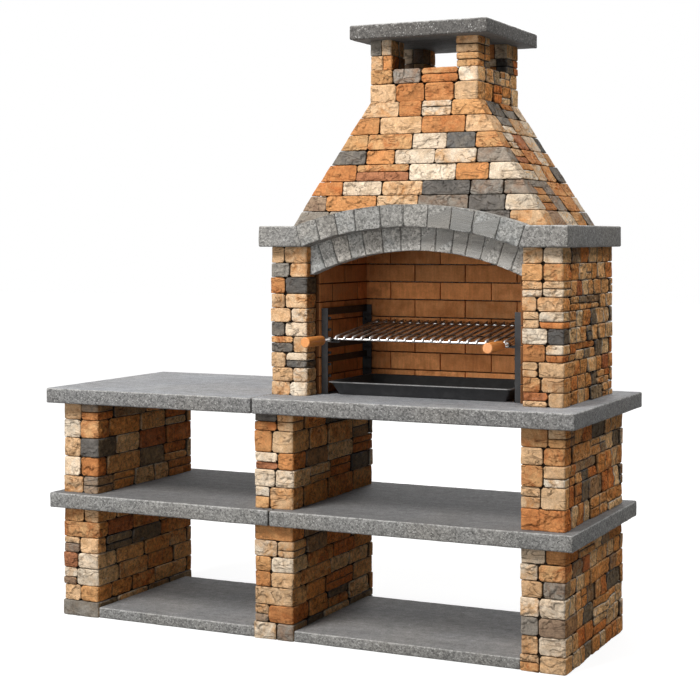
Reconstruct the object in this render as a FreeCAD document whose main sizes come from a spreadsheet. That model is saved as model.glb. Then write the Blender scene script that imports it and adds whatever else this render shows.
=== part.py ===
import FreeCAD, Part
import math
import os
import random
import Sketcher

# Masonry barbecue: stone piers under concrete slabs, a brick-lined firebox with a double arch, a hipped
# stone hood with a windowed chimney, a grill on rest pins and an ash tray. Millimetres, +Z up, +Y to the
# rear. The origin is on the ground under the middle of the worktop.

V = FreeCAD.Vector
UP = V(0, 0, 1)
doc = FreeCAD.newDocument("MasonryBarbecue")

# Driving dimensions
SIZES = {
    # base
    "pier_width": 170, "pier_depth": 700, "pier_front": -375, "left_bay": 725, "right_bay": 915,
    "lower_pier_height": 440, "upper_pier_height": 365, "veneer": 38, "stone_joint": 4,
    "lower_courses": 7, "upper_courses": 5,
    "base_slab_height": 42, "base_slab_depth": 640, "base_slab_set_back": 5,
    "slab_height": 60, "slab_edge": 4, "slab_joint": 1,
    "shelf_side_overhang": 40, "shelf_front_overhang": 40, "shelf_depth": 800,
    "worktop_side_overhang": 50, "worktop_front_overhang": 50, "worktop_depth": 850, "worktop_bearing": 14,
    # firebox
    "firebox_pier_width": 160, "firebox_pier_depth": 595, "firebox_height": 575, "firebox_span": 880,
    "firebox_front": -275, "firebox_left": -165, "return_depth": 85, "firebox_courses": 10,
    "brick_length": 219, "brick_height": 68, "brick_depth": 50, "right_brick_depth": 74, "brick_joint": 3,
    "back_panel_depth": 45,
    # mantel and arches
    "mantel_height": 80, "mantel_overhang": 30, "mantel_front": -317, "mantel_back": 340,
    "upper_arch_rise": 75, "upper_arch_depth": 72, "upper_voussoirs": 10,
    "lower_arch_rise": 96, "lower_arch_spring": 110, "lower_arch_depth": 55, "lower_voussoirs": 14,
    "arch_joint": 2,
    "rear_beam_depth": 90,
    # hood and chimney
    "hood_height": 475, "hood_width": 1050, "hood_front": -240, "hood_veneer": 32, "panel_depth": 40,
    "hood_courses": 8, "chimney_width": 450, "chimney_depth": 430, "chimney_front": -160,
    "chimney_band": 125, "band_courses": 2, "window_height": 115,
    "post_width": 92, "post_depth": 128, "post_veneer": 26, "post_courses": 2,
    "cap_overhang": 60, "cap_height": 55,
    # side frames that carry the grill
    "angle_leg": 28, "angle_wall": 4, "frame_height": 335, "front_post_set_back": 100,
    "rear_post_gap": 7, "rail_height": 25, "top_rail_height": 28, "rail_wall": 5, "low_rail": 121,
    "middle_rail": 176, "peg_first": 71, "peg_pitch": 45, "peg_levels": 6, "peg_reach": 30,
    "peg_width": 8, "peg_height": 10, "rest_level": 3, "rest_pin_length": 70,
    "bolt_radius": 7, "bolt_head": 5, "low_bolt": 35, "high_bolt": 275,
    # grill
    "grill_width": 736, "side_bar_radius": 6, "side_bar_length": 392, "side_bar_front": 20,
    "running_gap": 0.4, "cross_bar_radius": 5, "cross_bar_set_in": 7, "rod_radius": 4.5, "rod_sides": 8,
    "rod_count": 20,
    "rod_overhang": 7, "rod_seat": 0.2, "tang_radius": 4, "tang_length": 150, "tang_root": 2,
    "collar_radius": 10, "collar_length": 22, "collar_gap": 1, "bare_tang": 57,
    "handle_length": 140, "handle_radius": 20, "handle_ease": 7, "handle_bore": 71,
    # ash tray
    "tray_length": 764, "tray_depth": 390, "tray_height": 52, "tray_wall": 3, "tray_rim": 12,
    "tray_rim_height": 6, "tray_taper": 22, "tray_corner": 9, "tray_front": -195, "tray_gap": 0.3,
}
sheet = doc.addObject("Spreadsheet::Sheet", "Sizes")
for row, (alias, number) in enumerate(SIZES.items(), start=1):
    sheet.set(f"A{row}", alias)
    sheet.set(f"B{row}", str(number))
    sheet.setAlias(f"B{row}", alias)
doc.recompute()


def size(alias):
    """Number in the sheet's cell of that name."""
    return float(sheet.get(alias))


# Places worked out from the driving dimensions
level_shelf = size("lower_pier_height")
level_upper = level_shelf + size("slab_height")
level_worktop = level_upper + size("upper_pier_height")
level_fire = level_worktop + size("slab_height")
level_mantel = level_fire + size("firebox_height")
level_hood = level_mantel + size("mantel_height")
level_chimney = level_hood + size("hood_height")
level_window = level_chimney + size("chimney_band")
level_cap = level_window + size("window_height")
base_length = 3 * size("pier_width") + size("left_bay") + size("right_bay")
pier_left_edges = {
    "left": -base_length / 2,
    "middle": -base_length / 2 + size("pier_width") + size("left_bay"),
    "right": base_length / 2 - size("pier_width"),
}
opening_left = size("firebox_left") + size("firebox_pier_width")
opening_right = opening_left + size("firebox_span")
opening_middle = (opening_left + opening_right) / 2
firebox_back = size("firebox_front") + size("firebox_pier_depth")
panel_front = firebox_back - size("back_panel_depth")
lining_front = panel_front - size("brick_depth")
lining_left = opening_left - size("veneer") + size("brick_depth")
lining_right = opening_right + size("veneer") - size("right_brick_depth")
lining_middle = (lining_left + lining_right) / 2

nodes = []


def keep(item):
    """Marks an object as a finished sub-part."""
    nodes.append(item)
    return item


def bind(item, **expressions):
    """Binds properties of an object to cells of the sheet."""
    for name, expression in expressions.items():
        item.setExpression(name, expression)


def box(label, length, width, height, corner):
    """Block with its sizes bound to the sheet and its low corner at a point."""
    item = doc.addObject("Part::Box", label)
    bind(item, Length=length, Width=width, Height=height)
    item.Placement.Base = V(*corner)
    return item


def group(label, members):
    """One sub-part of several separate solids."""
    item = doc.addObject("Part::Compound", label)
    item.Links = members
    return keep(item)


def solids(label, shapes):
    """Sub-part whose separate solids are worked out below."""
    item = doc.addObject("Part::Feature", label)
    item.Shape = Part.makeCompound(shapes) if len(shapes) > 1 else shapes[0]
    return keep(item)


def sketch_on(body, role, name, height=None):
    """Empty sketch on one of a body's own origin planes, raised by an expression if given."""
    sketch = body.newObject("Sketcher::SketchObject", name)
    plane = [p for p in body.Origin.OriginFeatures if p.Role == role][0]
    sketch.AttachmentSupport = (plane, "")
    sketch.MapMode = "FlatFace"
    if height:
        sketch.setExpression("AttachmentOffset.Base.z", height)
    return sketch


def closed_lines(sketch, points):
    """Chain of straight lines through the points, closed and joined end to end."""
    first = sketch.GeometryCount
    ends = points[1:] + points[:1]
    for start, end in zip(points, ends):
        sketch.addGeometry(Part.LineSegment(V(*start, 0), V(*end, 0)))
    for i in range(len(points)):
        j = (i + 1) % len(points)
        sketch.addConstraint(Sketcher.Constraint("Coincident", first + i, 2, first + j, 1))
    return first


def named_distance(sketch, kind, line, name, expression, start=1, end=2, now=10.0):
    """Length of a line along one axis, bound to the sheet."""
    index = sketch.addConstraint(Sketcher.Constraint(kind, line, start, line, end, now))
    sketch.renameConstraint(index, name)
    sketch.setExpression("Constraints." + name, expression)


def rectangle(sketch, length, width):
    """Rectangle from the sketch's origin."""
    first = closed_lines(sketch, [(0, 0), (100, 0), (100, 50), (0, 50)])
    for line, kind in enumerate(("Horizontal", "Vertical", "Horizontal", "Vertical")):
        sketch.addConstraint(Sketcher.Constraint(kind, first + line))
    sketch.addConstraint(Sketcher.Constraint("Coincident", first, 1, -1, 1))
    named_distance(sketch, "DistanceX", first, "length", length)
    named_distance(sketch, "DistanceY", first + 1, "width", width)


def slab(label, length, width, height, corner):
    """Cast slab: a padded rectangle with all its edges eased."""
    body = doc.addObject("PartDesign::Body", label)
    outline = sketch_on(body, "XY_Plane", label + "_outline")
    rectangle(outline, length, width)
    pad = body.newObject("PartDesign::Pad", label + "_pad")
    pad.Profile = outline
    pad.setExpression("Length", height)
    doc.recompute()
    eased = body.newObject("PartDesign::Chamfer", label + "_edges")
    eased.Base = (pad, [f"Edge{i + 1}" for i in range(len(pad.Shape.Edges))])
    eased.setExpression("Size", "Sizes.slab_edge")
    body.Placement.Base = V(*corner)
    return keep(body)


# Stones of a course. A wall is given by its plan rectangle (west, east, south, north) at the bottom and
# the top of the course, so that the same rules lay a straight pier and a tapering hood.
JOINT = size("stone_joint")
RELIEF = 5.0
COURSE_UNEVEN = 0.12
STONE_UNEVEN = 0.3
THIN_SHARE = (0.4, 0.6)
PIER_LEG = (58.0, 150.0)
PIER_SPLIT_SHIFT = 22.0
PIER_LONGEST = 235.0
PIER_SPLIT_CHANCE = 0.08
THROUGH_CHANCE = 0.2
THIN_CORNER_CHANCE = 0.12
HOOD_FRONT_LEG = (70.0, 125.0)
HOOD_SIDE_LEG = (60.0, 100.0)
HOOD_LONGEST = {"front": 185.0, "side": 150.0, "back": 350.0}
HOOD_SPLIT_CHANCE = {"front": 0.15, "side": 0.3, "back": 0.0}
BAND_LONGEST = {"front": 150.0, "side": 130.0, "back": 250.0}
BAND_SPLIT_CHANCE = {"front": 0.7, "side": 0.4, "back": 0.0}


def flat_face(points):
    """Flat polygon through the points."""
    return Part.Face(Part.makePolygon(points + points[:1]))


def outline_solid(low_outline, high_outline, z_low, z_high):
    """Solid with flat sides between two outlines that have the same corners in the same order."""
    low = [V(x, y, z_low) for x, y in low_outline]
    high = [V(x, y, z_high) for x, y in high_outline]
    if low_outline == high_outline:
        return flat_face(low).extrude(UP * (z_high - z_low))
    faces = [flat_face(low), flat_face(high)]
    for i in range(len(low)):
        j = (i + 1) % len(low)
        faces.append(flat_face([low[i], low[j], high[j], high[i]]))
    shell = Part.makeShell(faces)
    shell.sewShape()
    made = Part.makeSolid(shell)
    if made.Volume < 0:
        made.reverse()
    return made


class Wall:
    """Plan of a wall at two heights, with the thickness of its facing stones."""

    def __init__(self, low, high, thickness, z_low, z_high, rng, relief=RELIEF):
        self.plans = (low, high)
        self.thickness = thickness
        self.z_low = z_low
        self.z_high = z_high
        self.rng = rng
        self.relief = relief

    def build(self, outline, layers):
        """Stone, or two thin stones one on the other, with the outline that each plan gives."""
        cuts = [self.z_low, self.z_high]
        if layers == 2:
            share = self.rng.uniform(*THIN_SHARE)
            cuts.insert(1, self.z_low + share * (self.z_high - self.z_low))
        made = []
        for i in range(len(cuts) - 1):
            bottom = cuts[i] + (JOINT / 2 if i else 0)
            top = cuts[i + 1] - (JOINT / 2 if i + 2 < len(cuts) else 0)
            sunk = self.rng.uniform(0, self.relief)
            low = outline(self.plan_at(bottom), sunk)
            high = outline(self.plan_at(top), sunk)
            made.append(outline_solid(low, high, bottom, top))
        return made

    def plan_at(self, z):
        """Plan rectangle at a height between the two that are given."""
        share = (z - self.z_low) / (self.z_high - self.z_low)
        return tuple(a + (b - a) * share for a, b in zip(*self.plans))

    def runner(self, side, start, end, layers=1):
        """Straight stone on one side, from start to end along it."""
        depth = self.thickness

        def outline(plan, relief):
            west, east, south, north = plan
            face, back = {
                "south": (south + relief, south + depth), "north": (north - relief, north - depth),
                "west": (west + relief, west + depth), "east": (east - relief, east - depth),
            }[side]
            if side in ("south", "north"):
                return [(start, face), (end, face), (end, back), (start, back)]
            return [(face, start), (face, end), (back, end), (back, start)]

        return self.build(outline, layers)

    def quoin(self, corner, leg_x, leg_y, layers=1):
        """Corner stone: one leg ends at leg_x along X and the other at leg_y along Y."""
        depth = self.thickness
        other = self.rng.uniform(0, self.relief)

        def outline(plan, relief):
            west, east, south, north = plan
            x, inward_x = (west, 1) if "w" in corner else (east, -1)
            y, inward_y = (south, 1) if "s" in corner else (north, -1)
            face_x = x + inward_x * other
            face_y = y + inward_y * relief
            back_x = x + inward_x * depth
            back_y = y + inward_y * depth
            return [(face_x, face_y), (leg_x, face_y), (leg_x, back_y), (back_x, back_y), (back_x, leg_y),
                    (face_x, leg_y)]

        return self.build(outline, layers)

    def through_stone(self, leg_west, leg_east):
        """Stone across the whole front that turns both corners."""
        depth = self.thickness
        other = self.rng.uniform(0, self.relief)

        def outline(plan, relief):
            west, east, south, _ = plan
            return [(west + other, south + relief), (east - other, south + relief), (east - other, leg_east),
                    (east - depth, leg_east), (east - depth, south + depth), (west + depth, south + depth),
                    (west + depth, leg_west), (west + other, leg_west)]

        return self.build(outline, 1)

    def fill(self, side, start, end, longest, split_chance):
        """Row of straight stones between two corner stones."""
        count = max(1, math.ceil((end - start - JOINT) / longest))
        shares = [self.rng.uniform(1 - STONE_UNEVEN, 1 + STONE_UNEVEN) for _ in range(count)]
        room = end - start - JOINT * (count + 1)
        made = []
        place = start + JOINT
        for share in shares:
            length = room * share / sum(shares)
            layers = 2 if self.rng.random() < split_chance else 1
            made += self.runner(side, place, place + length, layers)
            place += length + JOINT
        return made


def course_levels(rng, bottom, top, count):
    """Uneven course heights that fill the wall, as (low, high) pairs with a joint between courses."""
    shares = [rng.uniform(1 - COURSE_UNEVEN, 1 + COURSE_UNEVEN) for _ in range(count)]
    levels = [bottom]
    for share in shares:
        levels.append(levels[-1] + (top - bottom) * share / sum(shares))
    pairs = []
    for i in range(count):
        low = levels[i] + (JOINT / 2 if i else 0)
        high = levels[i + 1] - (JOINT / 2 if i + 1 < count else 0)
        pairs.append((low, high))
    return pairs


def pier_course(wall, row, open_side=None):
    """Ring of stones round a straight pier: corner stones in front, laps that change with each course behind.
    An open side has only a short return after the front corner."""
    rng = wall.rng
    west, east, south, north = wall.plans[0]
    split = (west + east) / 2 + rng.uniform(-PIER_SPLIT_SHIFT, PIER_SPLIT_SHIFT)
    legs = {side: rng.uniform(*PIER_LEG) for side in ("west", "east")}
    if open_side:
        legs[open_side] = size("return_depth") - JOINT
    made = []
    if not open_side and rng.random() < THROUGH_CHANCE:
        made += wall.through_stone(south + legs["west"], south + legs["east"])
    else:
        layers = 2 if rng.random() < THIN_CORNER_CHANCE else 1
        made += wall.quoin("sw", split - JOINT / 2, south + legs["west"], layers)
        made += wall.quoin("se", split + JOINT / 2, south + legs["east"])
    sides_lap = row % 2 == 0
    lap = wall.thickness + JOINT
    for side in legs:
        if side != open_side:
            back_end = north + JOINT if sides_lap else north - lap + JOINT
            made += wall.fill(side, south + legs[side], back_end, PIER_LONGEST, PIER_SPLIT_CHANCE)
    back_west = west + lap if sides_lap and open_side != "west" else west
    back_east = east - lap if sides_lap and open_side != "east" else east
    return made + wall.runner("north", back_west, back_east)


def tapered_course(wall, longest, split_chance):
    """Ring of stones round the hood or the chimney, with a wrapped stone on each corner."""
    rng = wall.rng
    west, east, south, north = wall.plans[1]
    front_leg = {c: rng.uniform(*HOOD_FRONT_LEG) for c in ("sw", "se", "nw", "ne")}
    side_leg = {c: rng.uniform(*HOOD_SIDE_LEG) for c in ("sw", "se", "nw", "ne")}
    ends_x = {c: west + front_leg[c] if "w" in c else east - front_leg[c] for c in front_leg}
    ends_y = {c: south + side_leg[c] if "s" in c else north - side_leg[c] for c in side_leg}
    made = []
    for corner in ends_x:
        made += wall.quoin(corner, ends_x[corner], ends_y[corner])
    made += wall.fill("south", ends_x["sw"], ends_x["se"], longest["front"], split_chance["front"])
    made += wall.fill("north", ends_x["nw"], ends_x["ne"], longest["back"], split_chance["back"])
    made += wall.fill("west", ends_y["sw"], ends_y["nw"], longest["side"], split_chance["side"])
    made += wall.fill("east", ends_y["se"], ends_y["ne"], longest["side"], split_chance["side"])
    return made


def stone_pier(label, plan, bottom, top, courses, seed, open_side=None):
    """Facing stones of one pier. The course on the ground is flush, and the base slabs butt against it."""
    rng = random.Random(seed)
    made = []
    for row, (low, high) in enumerate(course_levels(rng, bottom, top, courses)):
        relief = RELIEF if low > 0 else 0
        made += pier_course(Wall(plan, plan, size("veneer"), low, high, rng, relief), row, open_side)
    solids(label, made)


# Piers of the base: a cast core, faced all round
def base_pier(name, storey, left, bottom, seed):
    veneer = size("veneer")
    front = size("pier_front")
    keep(box(f"{storey}_{name}_pier_core", "Sizes.pier_width - 2 * Sizes.veneer",
             "Sizes.pier_depth - 2 * Sizes.veneer", f"Sizes.{storey}_pier_height",
             (left + veneer, front + veneer, bottom)))
    plan = (left, left + size("pier_width"), front, front + size("pier_depth"))
    top = bottom + size(f"{storey}_pier_height")
    courses = int(size(f"{storey}_courses"))
    stone_pier(f"{storey}_{name}_pier_stones", plan, bottom, top, courses, seed)


for seed, (name, left) in enumerate(pier_left_edges.items(), start=1):
    base_pier(name, "lower", left, 0, 10 + seed)
    base_pier(name, "upper", left, level_upper, 20 + seed)

# Slabs of the base
GAP = size("slab_joint")
base_slab_front = size("pier_front") + size("base_slab_set_back")
for name, bay, left_pier in (("left", "left_bay", "left"), ("right", "right_bay", "middle")):
    slab(f"{name}_base_slab", f"Sizes.{bay}", "Sizes.base_slab_depth", "Sizes.base_slab_height",
         (pier_left_edges[left_pier] + size("pier_width"), base_slab_front, 0))

middle_pier_centre = pier_left_edges["middle"] + size("pier_width") / 2
shelf_left = -base_length / 2 - size("shelf_side_overhang")
shelf_front = size("pier_front") - size("shelf_front_overhang")
for name, left in (("left", shelf_left), ("right", middle_pier_centre + GAP / 2)):
    slab(f"{name}_shelf",
         f"Sizes.pier_width * 1.5 + Sizes.{name}_bay + Sizes.shelf_side_overhang - Sizes.slab_joint / 2",
         "Sizes.shelf_depth", "Sizes.slab_height", (left, shelf_front, level_shelf))

worktop_left = -base_length / 2 - size("worktop_side_overhang")
worktop_front = size("pier_front") - size("worktop_front_overhang")
worktop_joint = pier_left_edges["middle"] + size("worktop_bearing")
slab("side_table_top",
     "Sizes.worktop_side_overhang + Sizes.pier_width + Sizes.left_bay + Sizes.worktop_bearing"
     " - Sizes.slab_joint / 2",
     "Sizes.worktop_depth", "Sizes.slab_height", (worktop_left, worktop_front, level_worktop))
slab("grill_worktop", "Sizes.worktop_side_overhang + 2 * Sizes.pier_width + Sizes.right_bay"
     " - Sizes.worktop_bearing - Sizes.slab_joint / 2", "Sizes.worktop_depth", "Sizes.slab_height",
     (worktop_joint + GAP / 2, worktop_front, level_worktop))


# Firebox: piers, back panel and brick lining
def firebox_pier(name, left, open_side, seed):
    veneer = size("veneer")
    front = size("firebox_front")
    keep(box(f"firebox_{name}_pier_core", "Sizes.firebox_pier_width - 2 * Sizes.veneer",
             "Sizes.firebox_pier_depth - 2 * Sizes.veneer", "Sizes.firebox_height",
             (left + veneer, front + veneer, level_fire)))
    plan = (left, left + size("firebox_pier_width"), front, firebox_back)
    courses = int(size("firebox_courses"))
    stone_pier(f"firebox_{name}_pier_stones", plan, level_fire, level_mantel, courses, seed, open_side)


firebox_pier("left", size("firebox_left"), "east", 31)
firebox_pier("right", opening_right, "west", 32)
keep(box("firebox_back_panel", "Sizes.firebox_span", "Sizes.back_panel_depth", "Sizes.firebox_height",
         (opening_left, panel_front, level_fire)))

BRICK_COURSES = round(size("firebox_height") / (size("brick_height") + size("brick_joint")))
course_pitch = size("firebox_height") / BRICK_COURSES


def brick_rows(length):
    """Low height, start and end of each brick of a wall in running bond, measured along the wall."""
    pitch = size("brick_length") + size("brick_joint")
    for row in range(BRICK_COURSES):
        start = 0.0
        end = size("brick_length") / (2 if row % 2 else 1)
        while start < length:
            yield row * course_pitch, start, min(end, length)
            start = end + size("brick_joint")
            end += pitch


def brick_wall(label, length, turn, corner, depth="brick_depth"):
    """Lining of one wall. The wall runs along X from its corner, or along Y if turned."""
    bricks = []
    for low, start, end in brick_rows(length):
        if end - start < size("brick_joint") * 2:
            continue
        brick = doc.addObject("Part::Box", label + "_brick")
        brick.setExpression("Height", f"Sizes.firebox_height / {BRICK_COURSES} - Sizes.brick_joint")
        brick.setExpression("Width" if not turn else "Length", f"Sizes.{depth}")
        setattr(brick, "Length" if not turn else "Width", end - start)
        x, y = (0, start) if turn else (start, 0)
        brick.Placement.Base = V(*corner) + V(x, y, low)
        bricks.append(brick)
    group(label, bricks)


side_lining_front = size("firebox_front") + size("return_depth")
side_lining_length = panel_front - side_lining_front
brick_wall("back_lining_bricks", lining_right - lining_left, False,
           (lining_left, lining_front, level_fire))
brick_wall("left_lining_bricks", side_lining_length, True,
           (lining_left - size("brick_depth"), side_lining_front, level_fire))
# The right-hand wall has the thicker bricks, which bring the right frame clear of the pier's edge
brick_wall("right_lining_bricks", side_lining_length, True, (lining_right, side_lining_front, level_fire),
           "right_brick_depth")


# Mantel: both arches are circles through the springings and the crown
ARCH_UNEVEN = 0.2


class Arch:
    """Segmental arch over the firebox opening, drawn in the X-Z plane."""

    def __init__(self, spring, rise):
        half = size("firebox_span") / 2
        self.radius = (half * half + rise * rise) / (2 * rise)
        self.centre = V(opening_middle, 0, spring + rise - self.radius)
        self.half_angle = math.asin(half / self.radius)

    def point(self, angle, radius):
        """Point at an angle from the crown, positive towards +X."""
        return self.centre + V(math.sin(angle), 0, math.cos(angle)) * radius

    def spans(self, count, rng):
        """Start and end angle of each voussoir, from one springing to the other, with open joints between."""
        shares = [rng.uniform(1 - ARCH_UNEVEN, 1 + ARCH_UNEVEN) for _ in range(count)]
        half_joint = size("arch_joint") / 2 / self.radius
        spans = []
        start = -self.half_angle
        for i, share in enumerate(shares):
            end = start + 2 * self.half_angle * share / sum(shares)
            spans.append((start + half_joint if i else start, end - half_joint if i < count - 1 else end))
            start = end
        return spans


def wedge(edges, front, depth):
    """Solid from a closed outline in the X-Z plane, from its front face to the rear."""
    face = Part.Face(Part.Wire(edges))
    face.translate(V(0, front, 0))
    return face.extrude(V(0, depth, 0))


def line(start, end):
    return Part.LineSegment(start, end).toShape()


upper_arch = Arch(level_mantel, size("upper_arch_rise"))
lower_arch = Arch(level_mantel - size("lower_arch_spring"), size("lower_arch_rise"))
upper_thickness = size("mantel_height") / math.cos(upper_arch.half_angle)
skew = size("mantel_height") * math.tan(upper_arch.half_angle)
mantel_back = size("mantel_back")
mantel_front = size("mantel_front")
mantel_depth = mantel_back - mantel_front


def mantel_slab(label, outer, inner, lean):
    """Slab on a pier, with a sloping end from which the upper arch springs."""
    corners = [V(outer, 0, level_mantel), V(inner, 0, level_mantel), V(inner + lean, 0, level_hood),
               V(outer, 0, level_hood)]
    edges = [line(corners[i], corners[(i + 1) % 4]) for i in range(4)]
    block = wedge(edges, mantel_front, mantel_depth)
    inner_face_edges = [e for e in block.Edges if abs(e.CenterOfMass.x - inner) < abs(lean) + 1]
    eased = [e for e in block.Edges if not any(e.isSame(other) for other in inner_face_edges)]
    solids(label, [block.makeChamfer(size("slab_edge"), eased)])


mantel_left = size("firebox_left") - size("mantel_overhang")
mantel_right = opening_right + size("firebox_pier_width") + size("mantel_overhang")
mantel_slab("mantel_left_slab", mantel_left, opening_left, -skew)
mantel_slab("mantel_right_slab", mantel_right, opening_right, skew)


def upper_voussoirs():
    """Band that stands forward of the hood, of wedges between two concentric arcs."""
    rng = random.Random(41)
    inner = upper_arch.radius
    outer = inner + upper_thickness
    made = []
    for a, b in upper_arch.spans(int(size("upper_voussoirs")), rng):
        middle = (a + b) / 2
        low = Part.Arc(*[upper_arch.point(t, inner) for t in (a, middle, b)]).toShape()
        high = Part.Arc(*[upper_arch.point(t, outer) for t in (b, middle, a)]).toShape()
        sides = [line(upper_arch.point(b, inner), upper_arch.point(b, outer)),
                 line(upper_arch.point(a, outer), upper_arch.point(a, inner))]
        made.append(wedge([low, sides[0], high, sides[1]], mantel_front, size("upper_arch_depth")))
    solids("upper_arch_voussoirs", made)


def lower_voussoirs():
    """Band between the piers. Its top is level and carries the front of the hood."""
    rng = random.Random(42)
    spans = lower_arch.spans(int(size("lower_voussoirs")), rng)
    front = mantel_front + size("upper_arch_depth")

    def top_of(angle):
        return lower_arch.centre + V(math.tan(angle), 0, 1) * (level_hood - lower_arch.centre.z)

    made = []
    for i, (a, b) in enumerate(spans):
        low = Part.Arc(*[lower_arch.point(t, lower_arch.radius) for t in (a, (a + b) / 2, b)]).toShape()
        right = [lower_arch.point(b, lower_arch.radius), top_of(b)]
        left = [lower_arch.point(a, lower_arch.radius), top_of(a)]
        if i == 0:
            left = [left[0], V(opening_left, 0, level_mantel), V(opening_left - skew, 0, level_hood)]
        if i == len(spans) - 1:
            right = [right[0], V(opening_right, 0, level_mantel), V(opening_right + skew, 0, level_hood)]
        chain = right + left[::-1]
        edges = [low] + [line(p, q) for p, q in zip(chain, chain[1:])]
        made.append(wedge(edges, front, size("lower_arch_depth")))
    solids("lower_arch_voussoirs", made)


upper_voussoirs()
lower_voussoirs()
keep(box("mantel_rear_beam", "Sizes.firebox_span", "Sizes.rear_beam_depth", "Sizes.mantel_height",
         (opening_left, mantel_back - size("rear_beam_depth"), level_mantel)))

# Hood and chimney
hood_plan = (opening_middle - size("hood_width") / 2, opening_middle + size("hood_width") / 2,
             size("hood_front"), mantel_back)
chimney_plan = (opening_middle - size("chimney_width") / 2, opening_middle + size("chimney_width") / 2,
                size("chimney_front"), size("chimney_front") + size("chimney_depth"))


def inset(plan, amount):
    """Plan rectangle drawn in by an amount on every side."""
    west, east, south, north = plan
    return (west + amount, east - amount, south + amount, north - amount)


def mitred_panels(low_plan, high_plan, veneer, bottom, top):
    """Four wall panels that meet on the diagonals of the corners, by name."""
    outlines = {"front": [], "right": [], "back": [], "left": []}
    for plan in (low_plan, high_plan):
        rings = []
        for amount in (veneer, veneer + size("panel_depth")):
            west, east, south, north = inset(plan, amount)
            rings.append([(west, south), (east, south), (east, north), (west, north)])
        outer, inner = rings
        for i, name in enumerate(outlines):
            j = (i + 1) % 4
            outlines[name].append([outer[i], outer[j], inner[j], inner[i]])
    return {name: outline_solid(low, high, bottom, top) for name, (low, high) in outlines.items()}


hood_panels = mitred_panels(hood_plan, chimney_plan, size("hood_veneer"), level_hood, level_chimney)
for name, panel in hood_panels.items():
    solids(f"hood_{name}_panel", [panel])


def hood_stones():
    rng = random.Random(51)
    made = []
    for low, high in course_levels(rng, level_hood, level_chimney, int(size("hood_courses"))):
        plans = []
        for z in (low, high):
            share = (z - level_hood) / size("hood_height")
            plans.append(tuple(a + (b - a) * share for a, b in zip(hood_plan, chimney_plan)))
        wall = Wall(plans[0], plans[1], size("hood_veneer"), low, high, rng)
        made += tapered_course(wall, HOOD_LONGEST, HOOD_SPLIT_CHANCE)
    solids("hood_stones", made)


def chimney_band_stones():
    rng = random.Random(52)
    made = []
    for low, high in course_levels(rng, level_chimney, level_window, int(size("band_courses"))):
        wall = Wall(chimney_plan, chimney_plan, size("hood_veneer"), low, high, rng)
        made += tapered_course(wall, BAND_LONGEST, BAND_SPLIT_CHANCE)
    solids("chimney_band_stones", made)


hood_stones()
chimney_panels = mitred_panels(chimney_plan, chimney_plan, size("hood_veneer"), level_chimney, level_window)
solids("chimney_panels", list(chimney_panels.values()))
chimney_band_stones()


def chimney_posts():
    """Four corner posts: a cast core each, wrapped by two stones a course that turn opposite corners."""
    rng = random.Random(53)
    west, east, south, north = chimney_plan
    width = size("post_width")
    depth = size("post_depth")
    veneer = size("post_veneer")
    cores = []
    stones = []
    corners = [(x, y) for y in (south, north - depth) for x in (west, east - width)]
    for x, y in corners:
        cores.append(box("chimney_post", "Sizes.post_width - 2 * Sizes.post_veneer",
                         "Sizes.post_depth - 2 * Sizes.post_veneer", "Sizes.window_height",
                         (x + veneer, y + veneer, level_window)))
        plan = (x, x + width, y, y + depth)
        levels = course_levels(rng, level_window, level_cap, int(size("post_courses")))
        for i, (low, high) in enumerate(levels):
            wall = Wall(plan, plan, veneer, low, high, rng)
            first, second = (("sw", "ne"), ("se", "nw"))[i % 2]
            first_x = x + width if "w" in first else x
            second_x = x + veneer + JOINT if "e" in second else x + width - veneer - JOINT
            stones += wall.quoin(first, first_x, y + depth - veneer - JOINT)
            stones += wall.quoin(second, second_x, y + veneer + JOINT)
    group("chimney_post_cores", cores)
    solids("chimney_post_stones", stones)


chimney_posts()
slab("chimney_cap", "Sizes.chimney_width + 2 * Sizes.cap_overhang",
     "Sizes.chimney_depth + 2 * Sizes.cap_overhang", "Sizes.cap_height",
     (chimney_plan[0] - size("cap_overhang"), chimney_plan[2] - size("cap_overhang"), level_cap))

# Side frames: angle posts against the lining, flat rails between them, pegs at a steady pitch
front_post = size("firebox_front") + size("front_post_set_back")
rear_post = lining_front - size("rear_post_gap") - size("angle_leg")
leg = size("angle_leg")
wall = size("angle_wall")
front_peg = front_post + leg / 2 + wall / 2
rear_peg = rear_post + leg / 2 - wall / 2


def angle_post(label, x, y, mirror_x, mirror_y):
    """Upright of angle steel with its outer corner at a point, padded from an L-shaped sketch."""
    body = doc.addObject("PartDesign::Body", label)
    profile = sketch_on(body, "XY_Plane", label + "_profile")
    corners = [(0, 0), (leg, 0), (leg, wall), (wall, wall), (wall, leg), (0, leg)]
    corners = [(mirror_x * a, mirror_y * b) for a, b in corners]
    first = closed_lines(profile, corners)
    for i, kind in enumerate(("Horizontal", "Vertical") * 3):
        profile.addConstraint(Sketcher.Constraint(kind, first + i))
    profile.addConstraint(Sketcher.Constraint("Coincident", first, 1, -1, 1))
    ends = (1, 2) if mirror_x > 0 else (2, 1)
    named_distance(profile, "DistanceX", first, "front_leg", "Sizes.angle_leg", *ends)
    ends = (1, 2) if mirror_y > 0 else (2, 1)
    named_distance(profile, "DistanceY", first + 1, "front_wall", "Sizes.angle_wall", *ends)
    ends = (1, 2) if mirror_x < 0 else (2, 1)
    named_distance(profile, "DistanceX", first + 4, "side_wall", "Sizes.angle_wall", *ends)
    ends = (1, 2) if mirror_y < 0 else (2, 1)
    named_distance(profile, "DistanceY", first + 5, "side_leg", "Sizes.angle_leg", *ends)
    pad = body.newObject("PartDesign::Pad", label + "_pad")
    pad.Profile = profile
    pad.setExpression("Length", "Sizes.frame_height")
    body.Placement.Base = V(x, y, level_fire)
    keep(body)


def peg_height(level):
    return level_fire + size("peg_first") + level * size("peg_pitch")


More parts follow.
